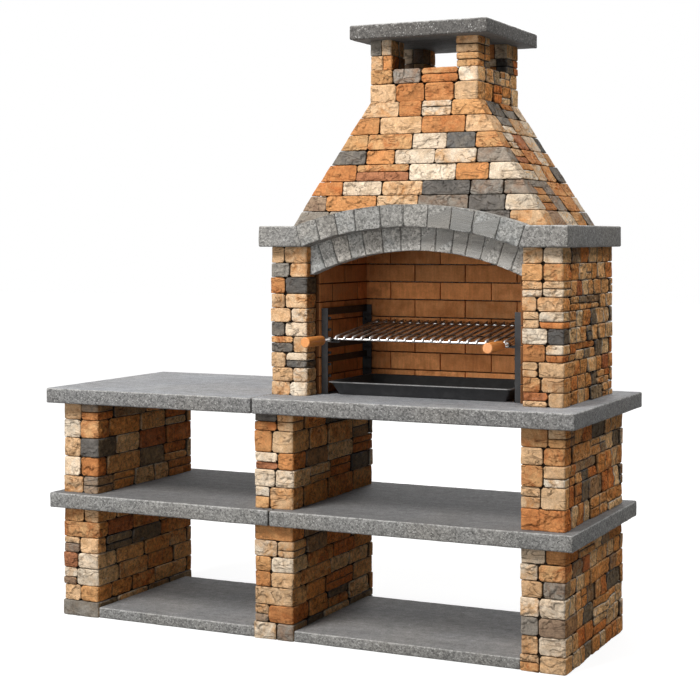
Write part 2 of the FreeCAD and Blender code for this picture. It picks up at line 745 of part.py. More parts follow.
def side_frame(name, x, inward):
    """Posts, rails, pegs and rest pins of one side. inward is +1 on the left and -1 on the right."""
    angle_post(f"{name}_front_post", x, front_post, inward, 1)
    angle_post(f"{name}_rear_post", x, rear_post + leg, inward, -1)
    inner_x = x + inward * wall
    rails = []
    for height, low in (("rail_height", "low_rail"), ("rail_height", "middle_rail"),
                        ("top_rail_height", None)):
        z = size(low) if low else size("frame_height") - size("top_rail_height")
        corner_x = inner_x if inward > 0 else inner_x - size("rail_wall")
        rail = box(f"{name}_rail", "Sizes.rail_wall", "Sizes.rail_wall", f"Sizes.{height}",
                   (corner_x, front_post + wall, level_fire + z))
        post_span = rear_post - front_post
        rail.setExpression("Width", f"{post_span} + Sizes.angle_leg - 2 * Sizes.angle_wall")
        rails.append(rail)
    group(f"{name}_frame_rails", rails)
    pegs = []
    pins = []
    for y, rest in ((front_peg, size("rest_level")), (rear_peg, size("rest_level") + 1)):
        for level in range(int(size("peg_levels"))):
            z = peg_height(level)
            reach = "rest_pin_length" if level == rest else "peg_reach"
            corner_x = inner_x if inward > 0 else inner_x - size(reach)
            peg = box(f"{name}_peg", f"Sizes.{reach}", "Sizes.peg_width", "Sizes.peg_height",
                      (corner_x, y - size("peg_width") / 2, z - size("peg_height") / 2))
            (pins if level == rest else pegs).append(peg)
    return pegs, pins


left_pegs, left_pins = side_frame("left", lining_left, 1)
right_pegs, right_pins = side_frame("right", lining_right, -1)
group("frame_pegs", left_pegs + right_pegs)
group("grill_rest_pins", left_pins + right_pins)


def frame_bolts():
    """Hexagon heads on the legs that lie against the brick, high and low on each post."""
    heads = []
    for x, inward in ((lining_left + wall, 1), (lining_right - wall, -1)):
        for y in (front_peg, rear_peg):
            for z in (level_fire + size("low_bolt"), level_fire + size("high_bolt")):
                head = doc.addObject("Part::Prism", "frame_bolt")
                head.Polygon = 6
                bind(head, Circumradius="Sizes.bolt_radius", Height="Sizes.bolt_head")
                head.Placement = FreeCAD.Placement(V(x, y, z), FreeCAD.Rotation(UP, V(inward, 0, 0)))
                heads.append(head)
    group("frame_bolts", heads)


frame_bolts()

# Grill: it lies on the rest pins, one peg higher at the rear. Its own frame has Y along the side bars to
# the rear, Z square to them, and the origin on the left bar's axis above the front pin.
pin_span = rear_peg - front_peg
tilt = math.degrees(math.atan2(size("peg_pitch"), pin_span))
tilted = FreeCAD.Rotation(V(1, 0, 0), tilt)
pin_corner = V(0, -size("peg_width") / 2, size("peg_height") / 2)
bar_lift = pin_corner.dot(tilted.multVec(UP)) + size("side_bar_radius") + size("running_gap")
left_bar_x = lining_middle - size("grill_width") / 2
grill_origin = V(left_bar_x, front_peg, peg_height(size("rest_level"))) + tilted.multVec(UP * bar_lift)
FORWARD = V(0, -1, 0)
bar_front = -size("side_bar_front")
bar_back = bar_front + size("side_bar_length")
cross_bars = {"front": bar_front + size("cross_bar_set_in"), "rear": bar_back - size("cross_bar_set_in")}


def in_grill(point, direction):
    """Placement of a round piece in the grill's own frame, its axis along a direction."""
    turn = FreeCAD.Rotation(UP, direction)
    return FreeCAD.Placement(grill_origin + tilted.multVec(point), tilted.multiply(turn))


def grill_bar(label, radius, length, point, direction):
    bar = doc.addObject("Part::Cylinder", label)
    bind(bar, Radius=radius, Height=length)
    bar.Placement = in_grill(point, direction)
    return bar


# The tangs, collars and handles run level from the front ends of the side bars
grip_origin = grill_origin + tilted.multVec(V(0, bar_front, 0))


def in_grip(x, forward):
    """Placement of a level round piece, some way in front of a side bar's end."""
    return FreeCAD.Placement(grip_origin + V(x, -forward, 0), FreeCAD.Rotation(UP, FORWARD))


def grip_bar(label, radius, length, x, forward):
    bar = doc.addObject("Part::Cylinder", label)
    bind(bar, Radius=radius, Height=length)
    bar.Placement = in_grip(x, forward)
    return bar


for name, x in (("left", 0), ("right", size("grill_width"))):
    shaft = grill_bar(f"{name}_bar_shaft", "Sizes.side_bar_radius", "Sizes.side_bar_length",
                      V(x, bar_back, 0), FORWARD)
    tang = grip_bar(f"{name}_bar_tang", "Sizes.tang_radius", "Sizes.tang_length + Sizes.tang_root",
                    x, -size("tang_root"))
    joined = doc.addObject("Part::Fuse", f"grill_{name}_side_bar")
    joined.Base = shaft
    joined.Tool = tang
    keep(joined)

side_gap = size("side_bar_radius")
for name, y in cross_bars.items():
    keep(grill_bar(f"grill_{name}_bar", "Sizes.cross_bar_radius",
                   "Sizes.grill_width - 2 * Sizes.side_bar_radius", V(side_gap, y, 0), V(1, 0, 0)))

rod_lift = size("cross_bar_radius") + size("rod_radius") - size("rod_seat")
rod_start = cross_bars["front"] - size("cross_bar_radius") - size("rod_overhang")
rod_end = cross_bars["rear"] + size("cross_bar_radius")
rod_count = int(size("rod_count"))
half_side = 180 / size("rod_sides")
flat_down = FreeCAD.Placement(V(), FreeCAD.Rotation(UP, half_side))
rods = []
for i in range(rod_count):
    rod = doc.addObject("Part::Prism", "grill_rod")
    bind(rod, Polygon="Sizes.rod_sides", Circumradius=f"Sizes.rod_radius / cos({half_side} deg)")
    rod.Height = rod_end - rod_start
    x = size("grill_width") * (i + 0.5) / rod_count
    rod.Placement = in_grill(V(x, rod_start, rod_lift), V(0, 1, 0)).multiply(flat_down)
    rods.append(rod)
group("grill_rods", rods)


def handle_collar(x):
    """Long hexagon nut on the tang, at the side bar's end."""
    gap = size("collar_gap")
    nut = doc.addObject("Part::Prism", "collar_nut")
    nut.Polygon = 6
    bind(nut, Circumradius="Sizes.collar_radius", Height="Sizes.collar_length")
    nut.Placement = in_grip(x, gap)
    bore = grip_bar("collar_bore", "Sizes.tang_radius", "Sizes.collar_length", x, gap)
    collar = doc.addObject("Part::Cut", "handle_collar")
    collar.Base = nut
    collar.Tool = bore
    return collar


group("handle_collars", [handle_collar(0), handle_collar(size("grill_width"))])


def handle(label, x):
    """Turned wooden grip: a profile with an eased rear end and a blind bore, revolved."""
    body = doc.addObject("PartDesign::Body", label)
    sketch = sketch_on(body, "XZ_Plane", label + "_profile")
    length = size("handle_length")
    bore = size("tang_radius")
    radius = size("handle_radius")
    ease = size("handle_ease")
    # Radius and place along the sketch's vertical axis, from the bore's end round to the tip
    profile = [(0, size("handle_bore")), (bore, size("handle_bore")), (bore, 0), (radius - ease, 0),
               (radius, ease), (radius, length), (0, length)]
    first = closed_lines(sketch, profile)
    last = first + len(profile) - 1
    for offset in (0, 2, 5):
        sketch.addConstraint(Sketcher.Constraint("Horizontal", first + offset))
    for offset in (1, 4):
        sketch.addConstraint(Sketcher.Constraint("Vertical", first + offset))
    sketch.addConstraint(Sketcher.Constraint("PointOnObject", last, 1, -2))
    sketch.addConstraint(Sketcher.Constraint("PointOnObject", last, 2, -2))
    named_distance(sketch, "DistanceX", first, "bore", "Sizes.tang_radius", now=bore)
    named_distance(sketch, "DistanceY", first + 1, "bore_depth", "Sizes.handle_bore", 2, 1,
                   size("handle_bore"))
    named_distance(sketch, "DistanceY", last, "closed_end", "Sizes.handle_length - Sizes.handle_bore", 2, 1,
                   length - size("handle_bore"))
    turned = body.newObject("PartDesign::Revolution", label + "_turned")
    turned.Profile = sketch
    turned.ReferenceAxis = (sketch, ["V_Axis"])
    turned.Angle = 360
    body.Placement = in_grip(x, size("collar_gap") + size("collar_length") + size("bare_tang"))
    keep(body)


handle("left_handle", 0)
handle("right_handle", size("grill_width"))


# Ash tray: a pressed pan with an open top and an outward rim
def rounded_rectangle(sketch, length, width, radius):
    """Rectangle centred on the sketch's origin with rounded corners."""
    half_x = length / 2
    half_y = width / 2
    centres = [(half_x - radius, half_y - radius), (radius - half_x, half_y - radius),
               (radius - half_x, radius - half_y), (half_x - radius, radius - half_y)]
    ends = []
    for i, (x, y) in enumerate(centres):
        start = i * math.pi / 2
        circle = Part.Circle(V(x, y, 0), UP, radius)
        sketch.addGeometry(Part.ArcOfCircle(circle, start, start + math.pi / 2))
        angles = (start, start + math.pi / 2)
        ends.append([V(x + radius * math.cos(t), y + radius * math.sin(t), 0) for t in angles])
    for i in range(4):
        sketch.addGeometry(Part.LineSegment(ends[i][1], ends[(i + 1) % 4][0]))


def level_faces(shape, z):
    """Names of the faces that lie flat at a height."""
    return [f"Face{i + 1}" for i, face in enumerate(shape.Faces)
            if face.BoundBox.ZLength < 0.01 and abs(face.CenterOfMass.z - z) < 0.01]


def ash_tray():
    """Block with drafted sides and rounded corners, hollowed to its sheet, and a flat rim."""
    body = doc.addObject("PartDesign::Body", "ash_tray")
    rim = size("tray_rim")
    height = size("tray_height")
    taper = size("tray_taper")
    corner = size("tray_corner")
    mouth = [size("tray_length") - 2 * rim, size("tray_depth") - 2 * rim]

    foot = sketch_on(body, "XY_Plane", "tray_foot")
    half_foot = [mouth[0] / 2 - taper, mouth[1] / 2 - taper]
    signs = ((-1, -1), (1, -1), (1, 1), (-1, 1))
    closed_lines(foot, [(a * half_foot[0], b * half_foot[1]) for a, b in signs])
    block = body.newObject("PartDesign::Pad", "tray_block")
    block.Profile = foot
    block.setExpression("Length", "Sizes.tray_height")
    doc.recompute()

    flat = level_faces(block.Shape, 0) + level_faces(block.Shape, height)
    sides = [f"Face{i + 1}" for i in range(len(block.Shape.Faces)) if f"Face{i + 1}" not in flat]
    drafted = body.newObject("PartDesign::Draft", "tray_sides")
    drafted.Base = (block, sides)
    drafted.NeutralPlane = (foot.AttachmentSupport[0][0], [""])
    drafted.setExpression("Angle", "atan(Sizes.tray_taper / Sizes.tray_height)")
    drafted.Reversed = True
    doc.recompute()

    rounded = body.newObject("PartDesign::Fillet", "tray_corners")
    rounded.Base = (drafted, [f"Edge{i + 1}" for i, edge in enumerate(drafted.Shape.Edges)
                              if edge.BoundBox.ZLength > height / 2])
    rounded.setExpression("Radius", "Sizes.tray_corner")
    doc.recompute()

    hollow = body.newObject("PartDesign::Thickness", "tray_hollow")
    hollow.Base = (rounded, level_faces(rounded.Shape, height))
    hollow.setExpression("Value", "Sizes.tray_wall")
    hollow.Reversed = True
    hollow.Join = "Intersection"
    doc.recompute()
    if not 0 < hollow.Shape.Volume < rounded.Shape.Volume / 2:
        raise RuntimeError("the tray was not hollowed")

    # The rim's inner edge lies in the leaning sheet both at its top and at its underside
    sheet_across = size("tray_wall") * math.hypot(taper, height) / height
    sheet_lean = taper * size("tray_rim_height") / height
    edge = (sheet_across + sheet_lean) / 2
    plate = sketch_on(body, "XY_Plane", "tray_rim_outline", "Sizes.tray_height")
    rounded_rectangle(plate, mouth[0] + 2 * rim, mouth[1] + 2 * rim, corner + rim)
    rounded_rectangle(plate, mouth[0] - 2 * edge, mouth[1] - 2 * edge, corner - edge)
    flange = body.newObject("PartDesign::Pad", "tray_flange")
    flange.Profile = plate
    flange.Reversed = True
    flange.setExpression("Length", "Sizes.tray_rim_height")

    middle_y = size("tray_front") + size("tray_depth") / 2
    body.Placement.Base = V(lining_middle, middle_y, level_fire + size("tray_gap"))
    keep(body)


ash_tray()

# Every object is checked before anything is written
doc.recompute()
for item in doc.Objects:
    if {"Invalid", "Error"} & set(item.State):
        raise RuntimeError(f"{item.Label} failed: {item.State}")
for item in nodes:
    if item.Shape.isNull() or not item.Shape.isValid() or not item.Shape.Solids:
        raise RuntimeError(f"{item.Label} has no valid solid")

os.makedirs("parts", exist_ok=True)
for item in nodes:
    item.Shape.exportStep(f"parts/{item.Label}.step")
print(len(nodes), "sub-parts,", sum(len(item.Shape.Solids) for item in nodes), "solids")
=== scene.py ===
import math
from collections import namedtuple

import bmesh
import bpy
import numpy as np
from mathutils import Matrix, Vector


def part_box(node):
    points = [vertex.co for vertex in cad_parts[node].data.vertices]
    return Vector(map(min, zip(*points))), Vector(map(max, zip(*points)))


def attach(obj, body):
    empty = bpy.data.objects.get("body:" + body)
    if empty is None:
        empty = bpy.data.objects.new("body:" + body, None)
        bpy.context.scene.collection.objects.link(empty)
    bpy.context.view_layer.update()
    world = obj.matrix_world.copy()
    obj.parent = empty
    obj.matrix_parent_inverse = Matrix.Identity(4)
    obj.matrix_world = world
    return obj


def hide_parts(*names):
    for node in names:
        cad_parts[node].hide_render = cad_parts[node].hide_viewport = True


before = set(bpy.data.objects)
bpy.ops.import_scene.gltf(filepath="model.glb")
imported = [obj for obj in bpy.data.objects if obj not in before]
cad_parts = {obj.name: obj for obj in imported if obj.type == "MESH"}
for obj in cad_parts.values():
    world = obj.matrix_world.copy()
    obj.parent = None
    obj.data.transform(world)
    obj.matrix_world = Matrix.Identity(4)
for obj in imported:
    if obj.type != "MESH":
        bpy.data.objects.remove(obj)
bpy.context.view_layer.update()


# Colours, as display values from 0 to 255

def linear(red, green, blue):
    """Linear colour, with alpha, of a display colour."""
    shares = [value / 255 for value in (red, green, blue)]
    return (*[share / 12.92 if share < 0.04 else ((share + 0.055) / 1.055) ** 2.4 for share in shares], 1.0)


# Each split stone has a main colour and a second one that shows in patches
STONE_COLOURS = {
    "cream": (linear(223, 206, 184), linear(213, 187, 157)),
    "sand": (linear(214, 179, 141), linear(205, 163, 119)),
    "gold": (linear(208, 161, 112), linear(194, 140, 90)),
    "orange": (linear(194, 134, 84), linear(178, 110, 63)),
    "rust": (linear(174, 118, 84), linear(148, 95, 66)),
    "umber": (linear(160, 134, 110), linear(138, 112, 92)),
    "grey": (linear(148, 140, 130), linear(126, 118, 108)),
    "slate": (linear(106, 102, 98), linear(86, 83, 80)),
}
# Kind of stone whose colour shows in patches on another
NEIGHBOURS = {
    "cream": "sand", "sand": "gold", "gold": "orange", "orange": "gold",
    "rust": "orange", "umber": "grey", "grey": "umber", "slate": "grey",
}
# Parts of each kind of stone in the hood and in the piers
HOOD_MIX = {"cream": 20, "sand": 20, "gold": 14, "orange": 15, "rust": 5, "umber": 4, "grey": 13, "slate": 9}
PIER_MIX = {"cream": 23, "sand": 30, "gold": 20, "orange": 12, "rust": 2, "umber": 4, "grey": 7, "slate": 6}


# Smooth noise on a lattice, the same on every run

def lattice(cells):
    """Repeatable values from 0 to 1 at whole-number points."""
    cells = cells.astype(np.uint64)
    mixed = cells[..., 0] * np.uint64(374761393) + cells[..., 1] * np.uint64(668265263)
    mixed = mixed + cells[..., 2] * np.uint64(2246822519)
    mixed = (mixed ^ (mixed >> np.uint64(13))) * np.uint64(1274126177)
    mixed = mixed ^ (mixed >> np.uint64(16))
    return (mixed & np.uint64(0xFFFFFF)).astype(float) / 0xFFFFFF


def noise(points, size):
    """Smooth values from -1 to 1 whose bumps are about as large as size."""
    scaled = points / size
    cells = np.floor(scaled)
    part = scaled - cells
    part = part * part * (3 - 2 * part)
    cells = cells.astype(np.int64)
    total = 0
    for corner in np.ndindex(2, 2, 2):
        weight = np.prod(np.where(corner, part, 1 - part), axis=-1)
        total = total + weight * lattice(cells + np.array(corner))
    return 2 * total - 1


RISER_START = 0.35
RISER_WIDTH = 0.3


def terraces(values, count):
    """Turns smooth values from -1 to 1 into a staircase of flat beds with short risers."""
    scaled = values * count
    floor = np.floor(scaled)
    rise = np.clip((scaled - floor - RISER_START) / RISER_WIDTH, 0, 1)
    return (floor + rise * rise * (3 - 2 * rise) + 0.5) / count


# Reading the separate solids of a CAD node

Solid = namedtuple("Solid", "points triangles")
WELD = 1e-5
END_TOLERANCE = 2e-4
UPRIGHT = (0, 1, 2)
FACING_FRONT = (0, 2, 1)


def node_solids(node):
    """The separate solids of a CAD node, each with its corner points welded."""
    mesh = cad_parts[node].data
    raw = np.empty(3 * len(mesh.vertices))
    mesh.vertices.foreach_get("co", raw)
    raw = raw.reshape(-1, 3)
    cells = np.round(raw / WELD).astype(np.int64)
    _, first, place = np.unique(cells, axis=0, return_index=True, return_inverse=True)
    points = raw[first]
    mesh.calc_loop_triangles()
    triangles = np.empty(3 * len(mesh.loop_triangles), dtype=np.int64)
    mesh.loop_triangles.foreach_get("vertices", triangles)
    triangles = place.reshape(-1)[triangles].reshape(-1, 3)
    label = np.arange(len(points))
    while True:
        spread = label.copy()
        np.minimum.at(spread, triangles, label[triangles].min(axis=1)[:, None])
        if (spread == label).all():
            break
        label = spread
    solids = []
    for name in np.unique(label):
        members = np.flatnonzero(label == name)
        renumber = np.full(len(points), -1)
        renumber[members] = np.arange(len(members))
        solids.append(Solid(points[members], renumber[triangles[label[triangles[:, 0]] == name]]))
    return solids


def boxes_of(solids):
    """Lowest and highest corner of each solid."""
    return [(solid.points.min(axis=0), solid.points.max(axis=0)) for solid in solids]


def box_centre(node):
    """Middle of a CAD node's box."""
    lowest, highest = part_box(node)
    return np.array((lowest + highest) / 2)


def turned(solid, axes):
    """The solid with its axes reordered so that the third one runs along its length."""
    points = solid.points[:, axes].copy()
    if axes == FACING_FRONT:
        points[:, 2] *= -1
    return Solid(points, solid.triangles)


def turned_back(points, axes):
    """Points of a reordered solid, in the object's own axes."""
    if axes == UPRIGHT:
        return points
    return np.stack([points[..., 0], -points[..., 2], points[..., 1]], axis=-1)


def end_outline(solid, level):
    """Plan corners, anticlockwise, of the flat end of a solid at a level."""
    at_end = np.abs(solid.points[:, 2] - level) < END_TOLERANCE
    flat = solid.triangles[at_end[solid.triangles].all(axis=1)]
    edges = {(int(a), int(b)) for triangle in flat for a, b in zip(triangle, np.roll(triangle, -1))}
    follow = {a: b for a, b in edges if (b, a) not in edges}
    start = min(follow)
    order = [start]
    while follow[order[-1]] != start:
        order.append(follow[order[-1]])
    corners = solid.points[order, :2]
    x, y = corners.T
    area = np.sum(x * np.roll(y, -1) - y * np.roll(x, -1))
    return corners if area > 0 else corners[::-1]


def outlines(solid):
    """Bottom and top outlines of a solid, with their corners matched, and its two levels."""
    bottom = solid.points[:, 2].min()
    top = solid.points[:, 2].max()
    low = end_outline(solid, bottom)
    high = end_outline(solid, top)
    distances = [np.sum((np.roll(high, turn, axis=0) - low) ** 2) for turn in range(len(high))]
    return low, np.roll(high, int(np.argmin(distances)), axis=0), bottom, top


# Meshes gathered block by block

class Heap:
    """Points, faces and point values of the blocks that make one piece."""

    def __init__(self):
        self.points = []
        self.faces = []
        self.flat = []
        self.values = {}
        self.count = 0

    def add_rings(self, rings, values=None):
        """Adds a stack of rings, each a closed loop of as many points, with an end face at each end."""
        levels, around = rings.shape[:2]
        below = np.arange((levels - 1) * around).reshape(levels - 1, around)
        beside = np.roll(below, -1, axis=1)
        sides = np.stack([below, beside, beside + around, below + around], axis=-1).reshape(-1, 4)
        last_ring = (levels - 1) * around + np.arange(around)
        self.faces += (self.count + sides).tolist()
        self.faces.append((self.count + np.arange(around)[::-1]).tolist())
        self.faces.append((self.count + last_ring).tolist())
        self.flat += [False] * len(sides) + [True, True]
        self.points.append(rings.reshape(-1, 3))
        for name, value in (values or {}).items():
            rows = np.broadcast_to(value, (levels, around, value.shape[-1])).reshape(-1, value.shape[-1])
            self.values.setdefault(name, []).append(rows)
        self.count += levels * around

    def piece(self, name, finish, slot, *nodes, body="masonry"):
        """The gathered blocks as one object that rides on a body and stands for its CAD nodes."""
        mesh = bpy.data.meshes.new(name)
        mesh.from_pydata(np.concatenate(self.points).tolist(), [], self.faces)
        mesh.polygons.foreach_set("use_smooth", [not flat for flat in self.flat])
        for value_name, values in self.values.items():
            rows = np.concatenate(values)
            kind, field = ("FLOAT_COLOR", "color") if rows.shape[1] == 4 else ("FLOAT", "value")
            mesh.attributes.new(value_name, kind, "POINT").data.foreach_set(field, rows.ravel())
        mesh.update()
        placed(bpy.data.objects.new(name, mesh), finish, body, slot, *nodes)


def placed(obj, finish, body, slot, *nodes):
    """Puts an object in the scene with its finish, on its body, in place of its CAD nodes."""
    bpy.context.scene.collection.objects.link(obj)
    obj.data.materials.clear()
    obj.data.materials.append(finish)
    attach(obj, body)
    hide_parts(*nodes)


# Blocks with worn edges and worked faces

# A kind of block. step: between its points; reach and depth: of its worn edge; corner: plan radius;
# ragged: unevenness of the worn edge; face: how its seen faces are worked; grow: into the joint all round;
# ends: radius of a seen face's own corners; cap: whether its end faces are seen
Style = namedtuple("Style", "step reach depth corner ragged face grow ends cap", defaults=(0, 0, False))
ARC = np.radians([0, 30, 60, 90])
HIDDEN_STEP = 0.05
PROBE = 0.010
SMOOTH_TURN = math.cos(math.radians(20))
CORNER_ROOM = 0.4
CAP_SHARE = 0.06
SEED_REACH = 40
RELIEF_UNIT = 0.008
# The worn edge varies over this size, between these shares of its depth
WEAR_SIZE = 0.022
WEAR_SPAN = (0.25, 2.2)
# Score lines and bed joints: where points lie beside one, how far off the other points stay, and its groove
SCORE_OFFSETS = np.array([-0.0045, -0.002, 0, 0.002, 0.0045])
SCORE_CLEAR = 0.0075
BED_CLEAR = 0.007
SCORE_WIDTH = 0.0019
SCORE_DEPTH = 0.006
SIDE_JOINT = 1.7
BED_WAVE = 0.002
BED_WAVE_SIZE = 0.05
# Ends of a seen face: where points lie beside one, how far off the others stay, and how its radius varies
END_OFFSETS = np.array([0.002, 0.005])
END_MARGIN = 1.6
END_ROOM = 4
END_VARIETY = (0.6, 1.6)
# Outer corners of a stone: rounder than its joints, and with less relief close by
OUTER_ROUND = 2.0
CALM_SHARE = 0.3
CALM_REACH = 0.045
# Parts of a scored stone: chance of a bed joint, chance of one colour on both its sides, and texture shifts
PART_BED_CHANCE = 0.75
SAME_STONE = 0.4
PART_SHIFT = 3.7
LAYER_SHIFT = 5.3


def edge_normals(corners):
    """Length, direction and outward normal of each edge of an anticlockwise outline."""
    ahead = np.roll(corners, -1, axis=0) - corners
    lengths = np.linalg.norm(ahead, axis=1)
    along = ahead / lengths[:, None]
    return lengths, along, np.stack([along[:, 1], -along[:, 0]], axis=1)


def corner_radii(corners, radius):
    """Rounding radius at each corner: none where the outline turns in or hardly turns."""
    lengths, along, _ = edge_normals(corners)
    before = np.roll(along, 1, axis=0)
    turns_out = before[:, 0] * along[:, 1] - before[:, 1] * along[:, 0] > 0
    sharp = np.sum(before * along, axis=1) < SMOOTH_TURN
    room = np.minimum(lengths, np.roll(lengths, 1)) * CORNER_ROOM
    return np.where(turns_out & sharp, np.minimum(radius, room), 0)


def trace(corners, shares, radii):
    """Points and normals round an outline with rounded corners, with each one's edge, share and turn."""
    lengths, along, outward = edge_normals(corners)
    rows = []
    reaches = []
    for i, radius in enumerate(radii):
        spread = 1 + outward[i - 1] @ outward[i]
        reaches.append(radius * abs(along[i - 1] @ outward[i]) / spread)
    for i, corner in enumerate(corners):
        before, after = outward[i - 1], outward[i]
        if radii[i]:
            centre = corner - radii[i] * (before + after) / (1 + before @ after)
            for turn in ARC:
                normal = math.cos(turn) * before + math.sin(turn) * after
                normal = normal / np.linalg.norm(normal)
                rows.append((*(centre + radii[i] * normal), *normal, i, 0, turn / ARC[-1]))
        else:
            normal = before + after
            normal = normal / np.linalg.norm(normal)
            rows.append((*corner, *normal, i, 0, 0.5))
        start, end = reaches[i], lengths[i] - reaches[(i + 1) % len(corners)]
        for share in shares[i]:
            rows.append((*(corner + along[i] * (start + (end - start) * share)), *after, i, share, 1))
    rows = np.array(rows)
    return rows[:, :2], rows[:, 2:4], rows[:, 4].astype(int), rows[:, 5], rows[:, 6]


def grown(corners, amount):
    """An outline with every edge moved out by an amount."""
    _, _, outward = edge_normals(corners)
    before = np.roll(outward, 1, axis=0)
    return corners + amount * (before + outward) / (1 + np.sum(before * outward, axis=1))[:, None]


def shares_along(length, step, scores, spread, close_ends):
    """Where the points of an edge lie, as shares of it, closer together at its score lines and ends."""
    count = max(2, round(length / step))
    even = np.arange(1, count) / count
    for score in scores:
        even = even[np.abs(even - score) > SCORE_CLEAR * spread / length]
    near = [score + SCORE_OFFSETS * spread / length for score in scores]
    if close_ends and length > END_ROOM * END_OFFSETS[-1]:
        margin = END_MARGIN * END_OFFSETS[-1] / length
        even = even[(even > margin) & (even < 1 - margin)]
        near += [END_OFFSETS / length, 1 - END_OFFSETS / length]
    return np.sort(np.concatenate([even, *near]))


def end_cuts(seen, lengths, edges, place, turn, radius, rng):
    """How much lower each point's top edge is, so that a seen face has rounded corners beside a joint."""
    cuts = np.where(seen[edges] & (turn == 1), 0.0, radius)
    cuts[seen[edges] & seen[edges - 1] & (turn < 1)] = 0
    for i in np.flatnonzero(seen):
        on_edge = (edges == i) & (turn == 1)
        for is_joint, away in ((not seen[i - 1], place), (not seen[(i + 1) % len(seen)], 1 - place)):
            reach = radius * rng.uniform(*END_VARIETY)
            inside = np.clip(reach - away * lengths[i], 0, reach)
            cut = reach - np.sqrt(np.maximum(reach ** 2 - inside ** 2, 0))
            cuts = np.where(on_edge & is_joint, np.maximum(cuts, np.minimum(cut, radius)), cuts)
    return cuts


def calm_corners(seen, lengths, edges, place):
    """Share of the relief kept at each point: little at an outer corner, whose arris runs straight."""
    kept = np.ones(len(edges))
    for i in np.flatnonzero(seen & np.roll(seen, 1)):
        after = np.where(edges == i, place * lengths[i], 1)
        before = np.where(edges == (i - 1) % len(seen), (1 - place) * lengths[i - 1], 1)
        kept = np.minimum(kept, CALM_SHARE + np.minimum(after, before) / CALM_REACH)
    return kept


def exposed_edges(low, high, bottom, top, others, centre=None, inward=False):
    """Which edges of an outline are seen: not against another solid, nor turned away from the open side."""
    corners = (low + high) / 2
    _, _, outward = edge_normals(corners)
    middles = (corners + np.roll(corners, -1, axis=0)) / 2
    level = (bottom + top) / 2
    seen = []
    for middle, normal in zip(middles, outward):
        probe = np.array([*(middle + PROBE * normal), level])
        clear = not any((lowest < probe).all() and (probe < highest).all() for lowest, highest in others)
        if centre is not None:
            away = normal @ (middle - centre) > 0
            clear = clear and away != inward
        seen.append(clear)
    return np.array(seen)


def block_levels(bottom, top, style, score):
    """Heights of the rings up a block, and the share of the worn edge's depth at each."""
    wear = [(1 - math.cos(turn), 1 - math.sin(turn)) for turn in ARC[::-1]]
    count = max(1, round((top - bottom - 2 * style.reach) / style.step))
    even = bottom + style.reach + (top - bottom - 2 * style.reach) * np.arange(1, count) / count
    if score is not None:
        even = np.concatenate([even[np.abs(even - score) > BED_CLEAR], score + SCORE_OFFSETS])
    even = np.sort(even)
    insets = [depth for depth, _ in wear] + [0] * len(even) + [depth for depth, _ in wear[::-1]]
    heights = [bottom + style.reach * reach for _, reach in wear] + list(even)
    heights += [top - style.reach * reach for _, reach in wear[::-1]]
    if style.cap:
        insets = [insets[0], *insets, insets[-1]]
        heights = [bottom, *heights, top]
    return np.array(heights), np.array(insets)


